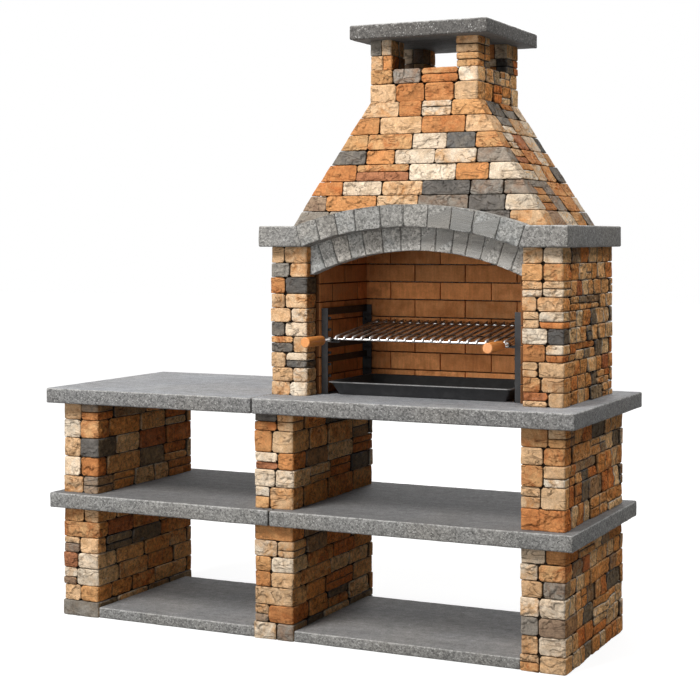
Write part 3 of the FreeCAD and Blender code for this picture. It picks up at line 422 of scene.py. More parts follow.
def block(heap, low, high, bottom, top, seen, style, rng, colours, axes=UPRIGHT, edge_scores=None, bed=None):
    """Adds one block: its outline ring by ring, with worn edges, a worked face and its score lines."""
    low = grown(low, style.grow)
    high = grown(high, style.grow)
    bottom = max(0, bottom - style.grow)
    top = top + style.grow
    lengths, along, _ = edge_normals(low)
    edge_scores = edge_scores or [[] for _ in low]
    on_side = np.abs(along[:, 1]) > np.abs(along[:, 0])
    spreads = np.where(on_side, SIDE_JOINT, 1.0) if style.ends else np.ones(len(low))
    shares = []
    for length, shown, scores, spread in zip(lengths, seen, edge_scores, spreads):
        step = style.step if shown else HIDDEN_STEP
        shares.append(shares_along(length, step, scores, spread, shown and style.ends > 0))
    at_joint = seen != np.roll(seen, 1)
    joint_spread = np.where(seen, spreads, np.roll(spreads, 1))
    outer_spread = OUTER_ROUND if style.ends else 1.0
    radii = corner_radii(low, style.corner * np.where(at_joint, joint_spread, outer_spread))
    low_points, normals, edges, place, turn = trace(low, shares, radii)
    high_points, _, _, _, _ = trace(high, shares, radii)
    heights, insets = block_levels(bottom, top, style, bed)
    rise = ((heights - bottom) / (top - bottom))[:, None, None]
    plan = low_points * (1 - rise) + high_points * rise
    rings = np.concatenate([plan, np.broadcast_to(heights[:, None, None], (*plan.shape[:2], 1))], axis=-1)

    # The face: worked where it is seen, and worn along its edges
    weight = seen[edges - 1] * (1 - turn) + seen[edges] * turn
    seed = rng.uniform(-SEED_REACH, SEED_REACH, 3)
    relief = style.face(rings + seed, rings, rng) * weight
    if style.ends:
        relief = relief * calm_corners(seen, lengths, edges, place)
    wear = 1 + style.ragged * noise(rings + seed[::-1], WEAR_SIZE)
    edge_inset = insets[:, None] * style.depth * np.clip(wear, *WEAR_SPAN)

    # Score lines part a face along its length, and a bed joint parts it in two layers
    score = np.zeros(len(low_points))
    part = np.zeros(len(low_points), dtype=int)
    for i, scores in enumerate(edge_scores):
        for share in scores:
            away = np.where(edges == i, (place - share) * lengths[i], 1)
            score += np.exp(-(away / (SCORE_WIDTH * spreads[i])) ** 2) * (turn == 1) * math.sqrt(spreads[i])
            part += (edges > i) | ((edges == i) & (place > share))
        if not seen[i]:
            part += edges > i
    part[part == part[-1]] = 0
    layered = np.zeros(rings.shape[:2])
    layer = np.zeros(rings.shape[:2], dtype=int)
    if bed is not None:
        wave = BED_WAVE * noise(rings + seed, BED_WAVE_SIZE)
        split = rng.random(part.max() + 1) < PART_BED_CHANCE
        layered = np.exp(-((rings[..., 2] - bed) / SCORE_WIDTH) ** 2) * split[part]
        layer = np.where((rings[..., 2] > bed) & split[part], 1, 0)
        rings[..., 2] += wave * layered
    joint = np.maximum(layered, score[None, :]) * weight
    offset = relief - edge_inset - joint * SCORE_DEPTH
    # Painted shade: the rounding that turns away into a hidden face darkens towards it
    joint = np.maximum(joint, 1 - weight)
    rings[..., :2] += normals * offset[..., None]
    if style.ends:
        cuts = end_cuts(seen, lengths, edges, place, turn, style.ends, rng)
        anchor = 0 if bottom == 0 else (bottom + top) / 2
        rings[..., 2] = anchor + (rings[..., 2] - anchor) * (1 - cuts / (top - anchor))
    if style.cap:
        for end, beside in ((0, 1), (-1, -2)):
            rings[end] = rings[beside] + (rings[beside].mean(axis=0) - rings[beside]) * CAP_SHARE
            offset[end] = 0

    # Colours, a pair for each layer of each part
    picks = [[colours() for _ in range(2)] for _ in range(part.max() + 1)]
    for pair in picks:
        if rng.random() < SAME_STONE:
            pair[1] = pair[0]
    table = np.array(picks)[part[None, :], layer]
    shift = np.broadcast_to(np.append(seed, 1.0), (*rings.shape[:2], 4)).copy()
    shift[..., 0] += part * PART_SHIFT + layer * LAYER_SHIFT
    values = {
        "tint": table[..., 0, :],
        "second": table[..., 1, :],
        "shift": shift,
        "relief": (offset / RELIEF_UNIT)[..., None],
        "joint": np.clip(joint, 0, 1)[..., None],
    }
    heap.add_rings(turned_back(rings, axes), values)


# Worked faces: how far each point stands out from the plain face, in metres

FACETS = 7
FACET_LEAN = 0.13
FACET_LENGTHWISE = 0.6
FACET_REACH = 0.0034
BEDDING = np.array([1, 1, 2.2])
LEDGE_RISE = 0.0022
LEDGE_COUNT = 2.2
FACE_LIFT = 0.0006


def split_face(seeded, rings, rng):
    """Rough split stone: a few leaning facets that meet at creases, small ledges and grit."""
    along = rings[..., 0] + rings[..., 1] + 0.012 * noise(seeded, 0.035)
    across = rings[..., 2] + 0.009 * noise(seeded[..., ::-1], 0.03)
    facets = []
    for _ in range(FACETS):
        middle = rng.uniform(along.min(), along.max())
        level = rng.uniform(across.min(), across.max())
        lean = rng.normal(0, FACET_LEAN, 2)
        facets.append(lean[0] * FACET_LENGTHWISE * (along - middle) + lean[1] * (across - level))
    broken = np.clip(np.median(facets, axis=0), -FACET_REACH, FACET_REACH)
    bedded = seeded * BEDDING
    swell = noise(bedded, 0.06) + 0.4 * noise(bedded, 0.022)
    ledges = LEDGE_RISE * terraces(swell, LEDGE_COUNT)
    grit = 0.0014 * noise(seeded, 0.017) + 0.0009 * noise(seeded, 0.008)
    return broken + ledges + grit + FACE_LIFT


def cast_face(seeded, rings, rng):
    """Cast slab edge: nearly flat with small pits."""
    return 0.0007 * noise(seeded, 0.06) + 0.0007 * noise(seeded, 0.014) - 0.0004


def brick_face(seeded, rings, rng):
    """Pressed firebrick: a slight set in or out and a faint unevenness."""
    return rng.uniform(-0.0008, 0.0008) + 0.0005 * noise(seeded, 0.05) + 0.0003 * noise(seeded, 0.012)


STONE = Style(step=0.0068, reach=0.0048, depth=0.0044, corner=0.0045, ragged=0.8, face=split_face, grow=0.001,
              ends=0.006)
HOOD_STONE = STONE._replace(reach=0.0032, depth=0.0034, corner=0.003, ends=0.0042)
SLAB = Style(step=0.016, reach=0.0062, depth=0.0056, corner=0.006, ragged=0.6, face=cast_face, cap=True)
VOUSSOIR = Style(step=0.012, reach=0.002, depth=0.002, corner=0.002, ragged=0.7, face=cast_face, cap=True)
MORTAR = Style(step=0.05, reach=0.002, depth=0.002, corner=0.002, ragged=0.3, face=cast_face)
BRICK = Style(step=0.02, reach=0.002, depth=0.002, corner=0.002, ragged=0.5, face=brick_face, grow=-0.0006)


# Finishes

HALF = (0.5, 0.5, 0.5)


class Nodes:
    """A node tree, with short calls for the nodes that are used here."""

    def __init__(self, tree):
        self.tree = tree

    def node(self, kind, inputs, output=0, **settings):
        """Adds a node, sets or links its inputs, and gives one of its outputs."""
        made = self.tree.nodes.new(kind)
        for setting, value in settings.items():
            setattr(made, setting, value)
        for socket, value in inputs.items():
            if isinstance(value, bpy.types.NodeSocket):
                self.tree.links.new(value, made.inputs[socket])
            else:
                made.inputs[socket].default_value = value
        return made.outputs[output]

    def span(self, value, low, high, to_low=0.0, to_high=1.0):
        """The value's range from low to high spread over another, and held at its ends."""
        inputs = {"Value": value, "From Min": low, "From Max": high, "To Min": to_low, "To Max": to_high}
        return self.node("ShaderNodeMapRange", inputs)

    def math(self, operation, a, b=0.0):
        return self.node("ShaderNodeMath", {0: a, 1: b}, operation=operation)

    def rays(self, *kinds):
        """1 for rays of the kinds that are named, and 0 for others."""
        outputs = self.node("ShaderNodeLightPath", {}).node.outputs
        share = outputs[kinds[0]]
        for kind in kinds[1:]:
            share = self.math("MAXIMUM", share, outputs[kind])
        return share


class Finish(Nodes):
    """A material, with short calls for its textures and colours."""

    def __init__(self, name, **constants):
        self.material = bpy.data.materials.new(name)
        self.material.use_nodes = True
        super().__init__(self.material.node_tree)
        self.shader = self.tree.nodes["Principled BSDF"]
        for socket, value in constants.items():
            self.shader.inputs[socket.replace("_", " ")].default_value = value
        self.place = self.node("ShaderNodeTexCoord", {}, "Object")

    def attribute(self, name, output="Color"):
        return self.node("ShaderNodeAttribute", {}, output, attribute_name=name)

    def noise(self, place, scale, detail=3.0, roughness=0.55, distortion=0.0):
        inputs = {"Vector": place, "Scale": scale, "Detail": detail}
        inputs.update({"Roughness": roughness, "Distortion": distortion})
        return self.node("ShaderNodeTexNoise", inputs, "Fac")

    def grains(self, place, scale):
        """A random value for each of many small cells."""
        cells = self.node("ShaderNodeTexVoronoi", {"Vector": place, "Scale": scale}, "Color")
        return self.node("ShaderNodeSeparateColor", {0: cells}, 0)

    def wandering(self, place, scale, reach):
        """The place moved to and fro by a noise, so that straight borders come out ragged."""
        away = self.node("ShaderNodeTexNoise", {"Vector": place, "Scale": scale, "Detail": 3.0}, "Color")
        centred = self.node("ShaderNodeVectorMath", {0: away, 1: HALF}, operation="SUBTRACT")
        scaled = self.node("ShaderNodeVectorMath", {0: centred, "Scale": reach}, operation="SCALE")
        return self.moved(place, scaled)

    def chips(self, place, scale):
        """Height of many small flat chips, each with a lean of its own."""
        lean = self.node("ShaderNodeTexVoronoi", {"Vector": place, "Scale": scale}, "Color")
        middle = lean.node.outputs["Position"]
        away = self.node("ShaderNodeVectorMath", {0: place, 1: middle}, operation="SUBTRACT")
        centred = self.node("ShaderNodeVectorMath", {0: lean, 1: HALF}, operation="SUBTRACT")
        slope = self.node("ShaderNodeVectorMath", {0: centred, 1: away}, "Value", operation="DOT_PRODUCT")
        return self.math("MULTIPLY", slope, scale)

    def stretched(self, place, x, y, z):
        return self.node("ShaderNodeMapping", {"Vector": place, "Scale": (x, y, z)})

    def moved(self, place, by):
        return self.node("ShaderNodeVectorMath", {0: place, 1: by}, operation="ADD")

    def mix(self, share, a, b, blend="MIX"):
        return self.node("ShaderNodeMix", {0: share, 6: a, 7: b}, 2, data_type="RGBA", blend_type=blend)

    def times(self, colour, *values):
        """The colour multiplied by each of the values."""
        for value in values:
            colour = self.mix(1.0, colour, value, "MULTIPLY")
        return colour

    def line(self, place, scale, width, distortion):
        """Thin wandering lines where a noise passes its middle value."""
        wander = self.noise(place, scale, 4, 0.6, distortion)
        away = self.math("ABSOLUTE", self.math("SUBTRACT", wander, 0.5))
        return self.span(away, 0.0, width, 1.0, 0.0)

    def facing(self, axis):
        """How far the surface faces along an axis, from -1 to 1."""
        normal = self.node("ShaderNodeNewGeometry", {}, "True Normal")
        return self.node("ShaderNodeSeparateXYZ", {0: normal}, axis)

    def bump(self, height, distance, strength=1.0, normal=None):
        inputs = {"Height": height, "Distance": distance, "Strength": strength}
        if normal is not None:
            inputs["Normal"] = normal
        return self.node("ShaderNodeBump", inputs)

    def done(self, colour, roughness, normal):
        """Links the surface's colour, roughness and normal, and gives the material."""
        for socket, value in (("Base Color", colour), ("Roughness", roughness), ("Normal", normal)):
            self.tree.links.new(value, self.shader.inputs[socket])
        return self.material


# Ledges across a split face: levels of a slow swell where they lie, their ramp, and the width of the painted
# shade in the creases along them
LEDGES = (0.46, 0.54)
LEDGE_RAMP = 0.012
CREASE_SHADE_WIDTH = 0.016


def patched(finish, low, high, *noise):
    """A block's own place, and its two colours in patches there."""
    place = finish.moved(finish.place, finish.attribute("shift", "Vector"))
    patch = finish.span(finish.noise(place, *noise), low, high)
    return place, finish.mix(patch, finish.attribute("tint"), finish.attribute("second"))


def stone_finish():
    """Split stone: two colours in patches, grain and chipped faces; painted brown shade in its creases,
    painted shade in its hollows and joints, and browner painted shade on its sides.
    """
    finish = Finish("split_stone_finish", Specular_IOR_Level=0.15)
    place, colour = patched(finish, 0.42, 0.66, 17, 5, 0.65, 0.9)
    mottle = finish.span(finish.noise(place, 95, 5, 0.75), 0.3, 0.7, 0.76, 1.18)
    broad = finish.span(finish.noise(place, 28, 3), 0.32, 0.68, 0.9, 1.08)
    grain = finish.span(finish.grains(place, 420), 0, 1, 0.86, 1.14)
    colour = finish.times(colour, mottle, broad, grain)
    bedded = finish.stretched(place, 1, 1, 3.6)
    pale = finish.span(finish.noise(bedded, 24, 4, 0.65), 0.56, 0.72, 0.0, 0.45)
    colour = finish.mix(pale, colour, finish.times(finish.attribute("tint"), linear(255, 246, 230)))
    swell = finish.noise(bedded, 6.5, 2.2, 0.45, 0.1)
    broken = finish.span(finish.noise(place, 20, 2), 0.42, 0.54)
    # Painted shade: a thin dark brown line along the creases of the ledges
    brown = finish.mix(0.66, finish.attribute("second"), linear(60, 34, 18))
    steps = 0.0
    for level in LEDGES:
        steps = finish.math("ADD", steps, finish.span(swell, level, level + LEDGE_RAMP))
        away = finish.math("ABSOLUTE", finish.math("SUBTRACT", swell, level))
        crease_shade = finish.math("MULTIPLY", finish.span(away, 0.0, CREASE_SHADE_WIDTH, 0.7, 0.0), broken)
        colour = finish.mix(crease_shade, colour, brown)
    # Painted shade: points set deep at the worn edges and in the grooves are darker
    painted_hollow_shade = finish.span(finish.attribute("relief", "Fac"), -0.9, -0.45, 0.4, 1.0)
    # Dark score lines and bed joints, and painted shade on the rounding that turns into a hidden joint
    shade = finish.span(finish.attribute("joint", "Fac"), 0.15, 0.7, 1.0, 0.16)
    colour = finish.times(colour, painted_hollow_shade, shade)
    # Painted shade: faces that face along X get a browner colour with deeper mottle
    painted_side_shade = finish.span(finish.math("ABSOLUTE", finish.facing("X")), 0.87, 0.97, 0.0, 0.85)
    deep = finish.span(finish.noise(place, 62, 5, 0.75), 0.36, 0.64, 0.56, 1.68)
    colour = finish.mix(painted_side_shade, colour, finish.times(colour, deep, linear(255, 219, 167)))
    ledge = finish.bump(finish.math("MULTIPLY", steps, broken), 0.005)
    ragged = finish.wandering(finish.stretched(place, 1, 1, 1.6), 50, 0.007)
    flakes = finish.bump(finish.chips(ragged, 32), 0.0055, 1.0, ledge)
    coarse = finish.bump(finish.noise(place, 130, 6, 0.72), 0.0044, 0.9, flakes)
    fine = finish.bump(finish.noise(place, 420, 3, 0.6), 0.0015, 0.7, coarse)
    roughness = finish.span(finish.noise(place, 60), 0.2, 0.8, 0.74, 0.95)
    return finish.done(colour, roughness, fine)


def concrete_finish(name, edge, top):
    """Cast concrete: speckled sides with painted shade on those facing +X, smoother tops with faint trowel
    streaks, and pale arrises, partly worn by rubbing and partly a painted highlight.
    """
    finish = Finish(name, Specular_IOR_Level=0.3)
    place = finish.place
    coarse = finish.grains(place, 150)
    small = finish.grains(place, 420)
    speckle = finish.math("ADD", finish.span(coarse, 0, 1, 0.56, 1.4), finish.span(small, 0, 1, -0.3, 0.3))
    fleck = finish.span(finish.grains(place, 260), 0.93, 0.97, 0.0, 0.4)
    cloud = finish.span(finish.noise(place, 7, 5, 0.6), 0.3, 0.7, 0.9, 1.1)
    side = finish.times(drifting(finish, edge), speckle, cloud)
    side = finish.mix(fleck, side, linear(206, 206, 204))
    # Painted shade: faces that face +X are darker
    side = finish.times(side, finish.span(finish.facing("X"), 0.87, 0.97, 1.0, 0.8))
    stretch = finish.stretched(place, 5, 60, 60)
    streak = finish.span(finish.noise(stretch, 1.0, 6, 0.7), 0.3, 0.72, 0.84, 1.16)
    dust = finish.span(finish.grains(place, 300), 0, 1, 0.74, 1.26)
    worn = finish.span(finish.noise(place, 26, 6, 0.72), 0.32, 0.68, 0.8, 1.2)
    flat = finish.times(drifting(finish, top), streak, dust, cloud, worn)
    up = finish.facing("Z")
    colour = finish.mix(finish.span(finish.math("ABSOLUTE", up), 0.8, 0.97), side, flat)
    # Pale arrises between top and side: partly worn by rubbing, partly a painted highlight
    arris_wear_and_highlight = finish.math("MULTIPLY", finish.span(up, 0.15, 0.4), finish.span(up, 0.96, 0.8))
    patchy_noise = finish.span(finish.noise(place, 60, 4, 0.7), 0.35, 0.65, 0.02, 0.5)
    colour = finish.mix(finish.math("MULTIPLY", arris_wear_and_highlight, patchy_noise), colour, linear(214, 214, 212))
    height = finish.math("ADD", finish.noise(place, 240, 4, 0.7), finish.math("MULTIPLY", coarse, 0.35))
    normal = finish.bump(height, 0.0022, 0.6)
    roughness = finish.span(finish.noise(place, 40), 0.2, 0.8, 0.62, 0.86)
    return finish.done(colour, roughness, normal)


def drifting(finish, colour):
    """A colour with a slow drift to a slightly warmer tone."""
    warm = (colour[0] * 1.03, colour[1], colour[2] * 0.96, 1.0)
    return finish.mix(finish.span(finish.noise(finish.place, 3.2), 0.35, 0.65), colour, warm)


def voussoir_finish():
    """Cast arch stones: each its own grey, speckled, and with painted shade in its worn hollows."""
    finish = Finish("arch_stone_finish", Specular_IOR_Level=0.3)
    place, colour = patched(finish, 0.4, 0.65, 14, 4)
    speckle = finish.span(finish.grains(place, 150), 0, 1, 0.56, 1.54)
    small = finish.span(finish.grains(place, 420), 0, 1, 0.74, 1.26)
    # Painted shade: points set back at the worn edges are darker
    painted_hollow_shade = finish.span(finish.attribute("relief", "Fac"), -0.35, -0.05, 0.55, 1.0)
    colour = finish.times(colour, speckle, small, painted_hollow_shade)
    normal = finish.bump(finish.noise(place, 230, 5, 0.7), 0.0024, 0.7)
    roughness = finish.span(finish.noise(place, 50), 0.2, 0.8, 0.7, 0.92)
    return finish.done(colour, roughness, normal)


def brick_finish(name, front):
    """Firebrick: warm buff in patches with upright drag marks, painted shade in its hollows, and painted
    shade that leaves a share of it on what faces the front.
    """
    finish = Finish(name, Specular_IOR_Level=0.2)
    place, colour = patched(finish, 0.38, 0.66, 22, 5, 0.6)
    mottle = finish.span(finish.noise(place, 160, 4, 0.7), 0.3, 0.7, 0.86, 1.12)
    drag = finish.span(finish.noise(finish.stretched(place, 90, 90, 11), 1.0, 4, 0.65), 0.3, 0.7, 0.84, 1.14)
    # Painted shade: points set back at the worn edges are darker
    painted_hollow_shade = finish.span(finish.attribute("relief", "Fac"), -0.3, -0.05, 0.5, 1.0)
    # Painted shade: faces that face the front keep only the share front of their colour
    ahead = finish.span(finish.facing("Y"), -0.9, -0.7, front, 1.0)
    colour = finish.times(colour, mottle, drag, painted_hollow_shade, ahead)
    normal = finish.bump(finish.noise(place, 300, 4, 0.65), 0.0016, 0.6)
    roughness = finish.span(finish.noise(place, 45), 0.2, 0.8, 0.8, 0.96)
    return finish.done(colour, roughness, normal)


def mortar_finish(name, colour):
    """Dark mortar and rough core concrete behind the joints."""
    finish = Finish(name, Specular_IOR_Level=0.2)
    mottle = finish.span(finish.noise(finish.place, 110, 6, 0.7), 0.3, 0.7, 0.7, 1.25)
    tone = finish.times(drifting(finish, colour), mottle)
    normal = finish.bump(finish.noise(finish.place, 180, 6, 0.7), 0.004, 0.8)
    roughness = finish.span(finish.noise(finish.place, 60), 0.2, 0.8, 0.85, 0.98)
    return finish.done(tone, roughness, normal)


def black_steel_finish():
    """Blacked steel: matt, slightly grainy, with greyer patches worn by rubbing."""
    finish = Finish("black_steel_finish", Metallic=0.35, Specular_IOR_Level=0.5)
    patchy_noise = finish.span(finish.noise(finish.place, 26, 5, 0.65, 0.6), 0.5, 0.75)
    colour = finish.mix(patchy_noise, linear(28, 28, 30), linear(48, 47, 47))
    colour = finish.times(colour, finish.span(finish.grains(finish.place, 900), 0, 1, 0.85, 1.15))
    roughness = finish.span(finish.noise(finish.place, 55, 4), 0.25, 0.75, 0.36, 0.56)
    normal = finish.bump(finish.noise(finish.place, 700, 3, 0.6), 0.0004, 0.5)
    return finish.done(colour, roughness, normal)


def rod_finish():
    """Grill rods: bright tips, and lengths browned and blackened by the fire."""
    finish = Finish("fired_rod_finish", Metallic=0.55)
    soot = finish.span(finish.noise(finish.place, 30, 4, 0.65), 0.35, 0.65)
    fired = finish.mix(soot, linear(158, 150, 143), linear(76, 68, 62))
    colour = finish.mix(finish.attribute("fired", "Fac"), linear(232, 232, 232), fired)
    roughness = finish.span(finish.noise(finish.place, 120, 4), 0.25, 0.75, 0.24, 0.42)
    normal = finish.bump(finish.noise(finish.place, 500, 3), 0.0004, 0.5)
    return finish.done(colour, roughness, normal)


def tray_finish():
    """Pressed black pan: sooty inside, satin outside, and a painted grey highlight along its rolled rim."""
    finish = Finish("pressed_pan_finish", Metallic=0.2)
    worn = finish.span(finish.noise(finish.place, 24, 5, 0.65, 0.6), 0.45, 0.75)
    colour = finish.mix(worn, linear(52, 52, 54), linear(68, 68, 69))
    # Painted highlight: the rolled rim is a paler grey, stronger in some patches than in others
    patchy_noise = finish.span(finish.noise(finish.place, 70, 4), 0.3, 0.6, 0.35, 0.9)
    rim = finish.math("MULTIPLY", finish.attribute("rim", "Fac"), patchy_noise)
    colour = finish.mix(rim, colour, linear(104, 104, 104))
    soot = finish.attribute("soot", "Fac")
    colour = finish.mix(soot, colour, linear(22, 21, 21))
    gloss = finish.span(finish.noise(finish.place, 55, 4), 0.25, 0.75, 0.36, 0.5)
    roughness = finish.math("ADD", gloss, finish.math("MULTIPLY", soot, 0.42))
    normal = finish.bump(finish.noise(finish.place, 500, 3, 0.6), 0.0005, 0.5)
    return finish.done(colour, roughness, normal)


def chrome_finish(name, bright, browned):
    """Plated steel: bright, with faint drawing lines and a little heat browning."""
    finish = Finish(name, Metallic=1.0)
    heat = finish.span(finish.noise(finish.place, 9, 4, 0.6), 0.5, 0.75, 0.0, 0.4)
    colour = finish.mix(heat, bright, browned)
    roughness = finish.span(finish.noise(finish.place, 120, 4), 0.25, 0.75, 0.14, 0.32)
    normal = finish.bump(finish.noise(finish.stretched(finish.place, 900, 60, 900), 1.0, 2), 0.0002, 0.4)
    return finish.done(colour, roughness, normal)


def wood_finish():
    """Turned beech, stained orange-brown under a thin varnish, with its grain along the handle."""
    finish = Finish("turned_wood_finish", Specular_IOR_Level=0.5, Coat_Weight=0.35, Coat_Roughness=0.22)
    grain = finish.stretched(finish.place, 260, 16, 260)
    bands = finish.noise(grain, 1.0, 4, 0.6, 1.2)
    colour = finish.mix(finish.span(bands, 0.32, 0.68), linear(230, 158, 84), linear(198, 116, 52))
    pores = finish.line(finish.stretched(finish.place, 900, 40, 900), 1.0, 0.03, 0.2)
    colour = finish.mix(finish.math("MULTIPLY", pores, 0.45), colour, linear(140, 76, 34))
    # Paler front end: end grain tone, and painted light on the face toward the lamps
    end_grain_and_light = finish.span(finish.facing("Y"), -0.8, -0.95, 0.0, 0.25)
    colour = finish.mix(end_grain_and_light, colour, linear(214, 150, 88))
    roughness = finish.span(bands, 0.3, 0.7, 0.34, 0.5)
    normal = finish.bump(bands, 0.0005, 0.4)
    return finish.done(colour, roughness, normal)


STONE_FINISH = stone_finish()
WORKTOP_FINISH = concrete_finish("worktop_finish", linear(114, 114, 114), linear(134, 136, 140))
# Painted shade: the shelf and base slab tops are set darker for the shade of the slabs above them
SHELF_PAINTED_SHADE_FINISH = concrete_finish("shelf_painted_shade_finish", linear(122, 122, 121), linear(106, 106, 107))
BASE_PAINTED_SHADE_FINISH = concrete_finish("base_slab_painted_shade_finish", linear(122, 122, 121), linear(122, 122, 123))
MANTEL_FINISH = concrete_finish("mantel_finish", linear(124, 123, 121), linear(136, 136, 135))
CAP_FINISH = concrete_finish("chimney_cap_finish", linear(84, 82, 80), linear(106, 106, 105))
PANEL_FINISH = concrete_finish("panel_finish", linear(138, 136, 132), linear(126, 124, 120))
VOUSSOIR_FINISH = voussoir_finish()
# Painted shade on the front-facing brick faces: none on the back lining, three quarters of the colour taken
# off the side linings
BACK_BRICK_FINISH = brick_finish("back_firebrick_finish", 1.0)
SIDE_BRICK_FRONT_SHADE_FINISH = brick_finish("side_firebrick_front_shade_finish", 0.25)
MORTAR_FINISH = mortar_finish("mortar_finish", linear(58, 48, 40))
STEEL_FINISH = black_steel_finish()
CHROME_FINISH = chrome_finish("chromed_steel_finish", linear(206, 206, 207), linear(156, 143, 130))
NUT_FINISH = chrome_finish("dulled_nut_finish", linear(112, 110, 108), linear(84, 76, 68))
ROD_FINISH = rod_finish()
TRAY_FINISH = tray_finish()
WOOD_FINISH = wood_finish()


# Colours of single blocks

STONE_JITTER = 0.12
WARMTH_SHARE = 0.35
KINDRED_CHANCE = 0.45


def jittered(colour, rng, amount):
    """The colour a little lighter or darker, and a little warmer or cooler."""
    level = 1 + rng.uniform(-amount, amount)
    warmth = rng.uniform(-amount, amount) * WARMTH_SHARE
    red, green, blue = (share * level for share in colour[:3])
    return np.array([red * (1 + warmth), green, blue * (1 - warmth), 1.0])


def paired_colours(first, second, amount, rng):
    """Picks pairs that stay close to two colours."""
    return lambda: np.array([jittered(first, rng, amount), jittered(second, rng, amount)])


def stone_colours(mix, rng):
    """Picks a stone's pair of colours, often with the second colour of a kindred stone."""
    names = list(mix)
    chances = np.array(list(mix.values())) / sum(mix.values())

    def pick():
        first = names[rng.choice(len(names), p=chances)]
        other = NEIGHBOURS[first] if rng.random() < KINDRED_CHANCE else first
        return paired_colours(STONE_COLOURS[first][0], STONE_COLOURS[other][1], STONE_JITTER, rng)()

    return pick


# Pieces made of one plain block

ALL_SEEN = np.ones(4, dtype=bool)
WHITE = (1, 1, 1)


def rectangle(lowest, highest):
    """Plan rectangle, anticlockwise, between two corners."""
    (west, south), (east, north) = lowest[:2], highest[:2]
    return np.array([(west, south), (east, south), (east, north), (west, north)])


def plain_piece(name, low, high, levels, style, seed, finish, slot, node):
    """One block whose colour comes from its finish alone, in place of a CAD node."""
    rng = np.random.default_rng(seed)
    heap = Heap()
    block(heap, low, high, *levels, ALL_SEEN, style, rng, paired_colours(WHITE, WHITE, 0.0, rng))
    heap.piece(name, finish, slot, node)


# Stones

FRONT_STONE = 0.150
LONG_SIDE_STONE = 0.200
SHORT_SIDE_STONE = 0.080
LONG_FACE = 1.25
SCORE_CHANCE = 0.8
SCORE_DRIFT = 0.2
BED_HEIGHT = 0.052
BED_SPAN = (0.38, 0.62)
PIER_BED_CHANCE = 0.24
HOOD_BED_CHANCE = 0.05
BAND_BED_CHANCE = 0.3
MORTAR_DEPTH = 0.014


def score_lines(lengths, along, seen, side_stone, rng):
    """Score lines that part a long stone's face into smaller ones, as shares of each seen edge."""
    scores = []
    for length, direction, shown in zip(lengths, along, seen):
        found = []
        usual = side_stone if abs(direction[1]) > abs(direction[0]) else FRONT_STONE
        if shown and length > LONG_FACE * usual and rng.random() < SCORE_CHANCE:
            pieces = max(2, round(length / usual))
            found = [(i + rng.uniform(-SCORE_DRIFT, SCORE_DRIFT)) / pieces for i in range(1, pieces)]
        scores.append(found)
    return scores


def stone_piece(node, mix, seed, bed_chance, cores=(), side_stone=None, style=STONE):
    """The stones of one node, worked where they are seen, and scored if a side stone's length is given."""
    rng = np.random.default_rng(seed)
    solids = node_solids(node)
    boxes = boxes_of(solids)
    core_boxes = [box for core in cores for box in boxes_of(node_solids(core))]
    centre = box_centre(node)[:2]
    colours = stone_colours(mix, rng)
    heap = Heap()
    for i, solid in enumerate(solids):
        low, high, bottom, top = outlines(solid)
        others = boxes[:i] + boxes[i + 1:] + core_boxes
        seen = exposed_edges(low, high, bottom, top, others, centre)
        lengths, along, _ = edge_normals(low)
        scores = score_lines(lengths, along, seen, side_stone, rng) if side_stone else None
        bed = None
        if top - bottom > BED_HEIGHT and rng.random() < bed_chance:
            bed = bottom + (top - bottom) * rng.uniform(*BED_SPAN)
        block(heap, low, high, bottom, top, seen, style, rng, colours, edge_scores=scores, bed=bed)
    heap.piece(f"{node}_split", STONE_FINISH, "split_stone", node)


def pier_piece(pier, stone_seed, mortar_seed, side_stone, filled=(True, True)):
    """A pier's stones, and its core with the mortar that reaches to a little behind their faces."""
    stones, core = f"{pier}_stones", f"{pier}_core"
    stone_piece(stones, PIER_MIX, stone_seed, PIER_BED_CHANCE, [core], side_stone)
    lowest, highest = [np.array(corner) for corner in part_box(core)]
    outer_lowest, outer_highest = [np.array(corner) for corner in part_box(stones)]
    lowest[1] = outer_lowest[1] + MORTAR_DEPTH
    highest[1] = outer_highest[1] - MORTAR_DEPTH
    if filled[0]:
        lowest[0] = outer_lowest[0] + MORTAR_DEPTH
    if filled[1]:
        highest[0] = outer_highest[0] - MORTAR_DEPTH
    plan = rectangle(lowest, highest)
    levels = (lowest[2], highest[2])
    name = f"{pier}_mortar"
    plain_piece(name, plan, plan, levels, MORTAR, mortar_seed, MORTAR_FINISH, "core_concrete", core)


for side, first_seed in {"left": 11, "middle": 21, "right": 43}.items():
    side_stone = SHORT_SIDE_STONE if side == "right" else LONG_SIDE_STONE
    for index, storey in enumerate(("lower", "upper")):
        seed = first_seed + index
        pier_piece(f"{storey}_{side}_pier", seed, seed + 2, side_stone)
# The firebox piers' cores stay bare on the side of the lining
for index, side in enumerate(("left", "right")):
    filled = (side == "left", side == "right")
    pier_piece(f"firebox_{side}_pier", 151 + 4 * index, 53 + index, SHORT_SIDE_STONE, filled)
stone_piece("hood_stones", HOOD_MIX, 61, HOOD_BED_CHANCE, style=HOOD_STONE)
stone_piece("chimney_band_stones", PIER_MIX, 66, BAND_BED_CHANCE, side_stone=SHORT_SIDE_STONE)

